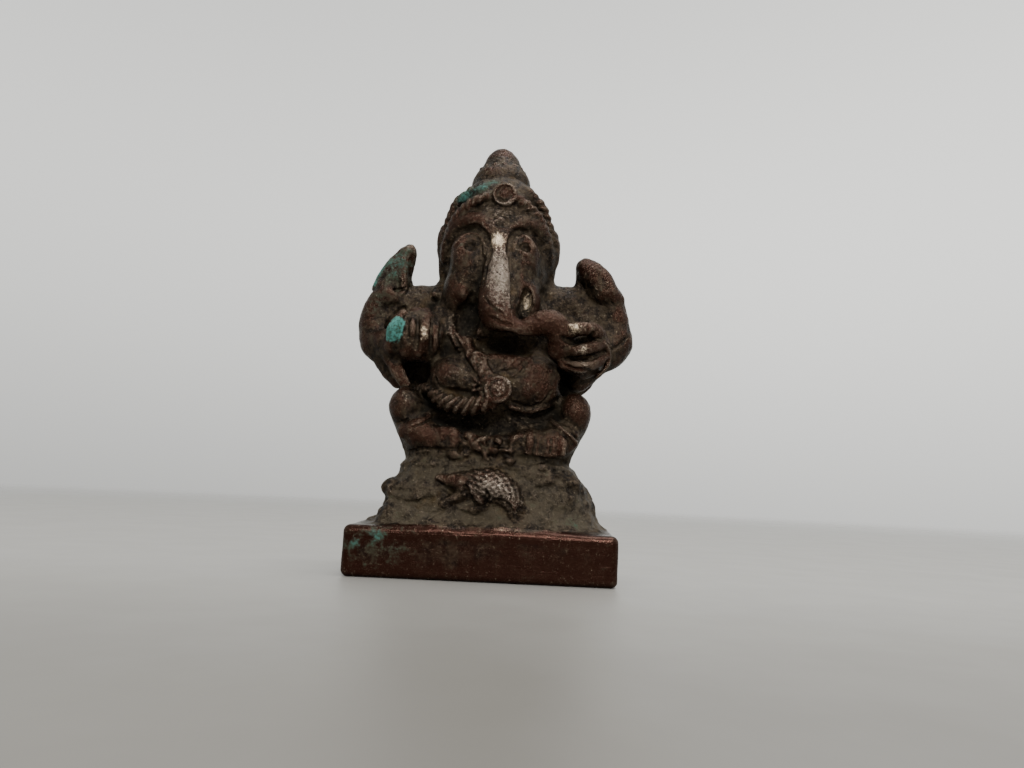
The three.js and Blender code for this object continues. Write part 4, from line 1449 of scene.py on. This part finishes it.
MATERIALS = {
    "aged_bronze": bronze("aged_bronze"),
    "worn_bronze": bronze("worn_bronze", red=0.6, grime=0.35),
    "green_bronze": bronze("green_bronze", red=0.3, grime=0.62),
    "filed_bronze": bronze("filed_bronze", red=1.2, grime=0.0, wear_and_sheen=0.2, tint=FILED_BROWN, filed=True),
}
SLOTS = {part["node"]: part["material_slot"] for part in frame["record"]["subparts"]}

whole = cast()
for node in ELEMENTS:
    make_piece(whole, node, MATERIALS[SLOTS[node]])


# ---------------------------------------------------------------- studio


def floor():
    """Pale, with painted shade that makes it darker towards the camera, and fading out with distance so that
    it has no far edge.
    """
    material = bpy.data.materials.new("pale_floor")
    w = Wiring(material, "Object")
    shader = w.tree.nodes["Principled BSDF"]
    # painted shade: the floor's colour darkens from behind the statuette towards the camera
    back = w.step(w.total(w.parts()["Y"], (w.noise(90.0), 0.01)), -0.075, 0.01)
    w.put(w.blend(back, linear(104, 101, 95), linear(136, 134, 129)), shader.inputs["Base Color"])
    w.put(w.step(w.noise(14.0), 0.2, 0.8, 0.42, 0.5), shader.inputs["Roughness"])
    away = w.tree.nodes.new("ShaderNodeVectorMath")
    away.operation = "LENGTH"
    w.put(w.place, away.inputs[0])
    clear = w.tree.nodes.new("ShaderNodeBsdfTransparent")
    fade = w.tree.nodes.new("ShaderNodeMixShader")
    w.put(w.step(away.outputs["Value"], 0.1, 0.9), fade.inputs[0])
    w.put(shader.outputs[0], fade.inputs[1])
    w.put(clear.outputs[0], fade.inputs[2])
    w.put(fade.outputs[0], w.tree.nodes["Material Output"].inputs["Surface"])
    bpy.ops.mesh.primitive_plane_add(size=4, location=(0, 0, 0))
    plane = bpy.context.object
    plane.name = "floor"
    plane.data.materials.append(material)


def soft_light(name, place, target, size, power):
    """A rectangular lamp that faces its target."""
    data = bpy.data.lights.new(name, "AREA")
    data.shape = "RECTANGLE"
    data.size, data.size_y = size
    data.energy = power
    lamp = bpy.data.objects.new(name, data)
    lamp.location = place
    lamp.rotation_euler = (Vector(target) - Vector(place)).to_track_quat("-Z", "Y").to_euler()
    bpy.context.collection.objects.link(lamp)


def pale_room():
    """Light that comes mostly from above and behind, as from a window, and little from the front."""
    world = bpy.data.worlds.new("pale_room")
    w = Wiring(world, "Generated")
    direction = w.parts()
    ramps = [
        ("X", -0.7, 0.7, 0.84, 1.12),
        ("Y", -0.8, 0.5, 0.5, 1.0),
        ("Z", -0.2, 0.35, 0.6, 1.35),
        ("Z", 0.35, 0.8, 1.0, 0.72),
    ]
    strength = 1.0
    for axis, low, high, dim, bright in ramps:
        strength = w.math("MULTIPLY", strength, w.step(direction[axis], low, high, dim, bright))
    background = w.tree.nodes["Background"]
    background.inputs["Color"].default_value = linear(255, 255, 251)
    w.put(strength, background.inputs["Strength"])
    bpy.context.scene.world = world


def viewpoint(height):
    """A phone's wide lens, held close and low, and not quite level."""
    data = bpy.data.cameras.new("camera")
    data.lens = 25.98
    data.sensor_width = 36
    data.clip_start = 0.005
    camera = bpy.data.objects.new("camera", data)
    aside, away, up = 0.048, 1.689, 0.1765  # in heights of the statuette
    camera.location = (aside * height, -away * height, up * height)
    upwards, askew = 8.5, 2.7  # degrees
    tilt = Euler((math.radians(90 + upwards), 0, 0)).to_matrix()
    roll = Euler((0, 0, math.radians(askew))).to_matrix()
    camera.rotation_euler = (tilt @ roll).to_euler()
    bpy.context.collection.objects.link(camera)
    bpy.context.scene.camera = camera


def studio():
    """The floor, the light and the camera, placed from the statuette's box."""
    low, high = np.array(cad_bounds[0]), np.array(cad_bounds[1])
    middle = (low + high) / 2
    floor()
    pale_room()
    soft_light("window", middle + [0.1, 0.02, 0.6], middle, (0.4, 0.26), 3.6)
    soft_light("front", middle + [0.06, -0.6, 0.4], middle, (0.2, 0.14), 4.8)
    viewpoint(high[2] - low[2])


studio()
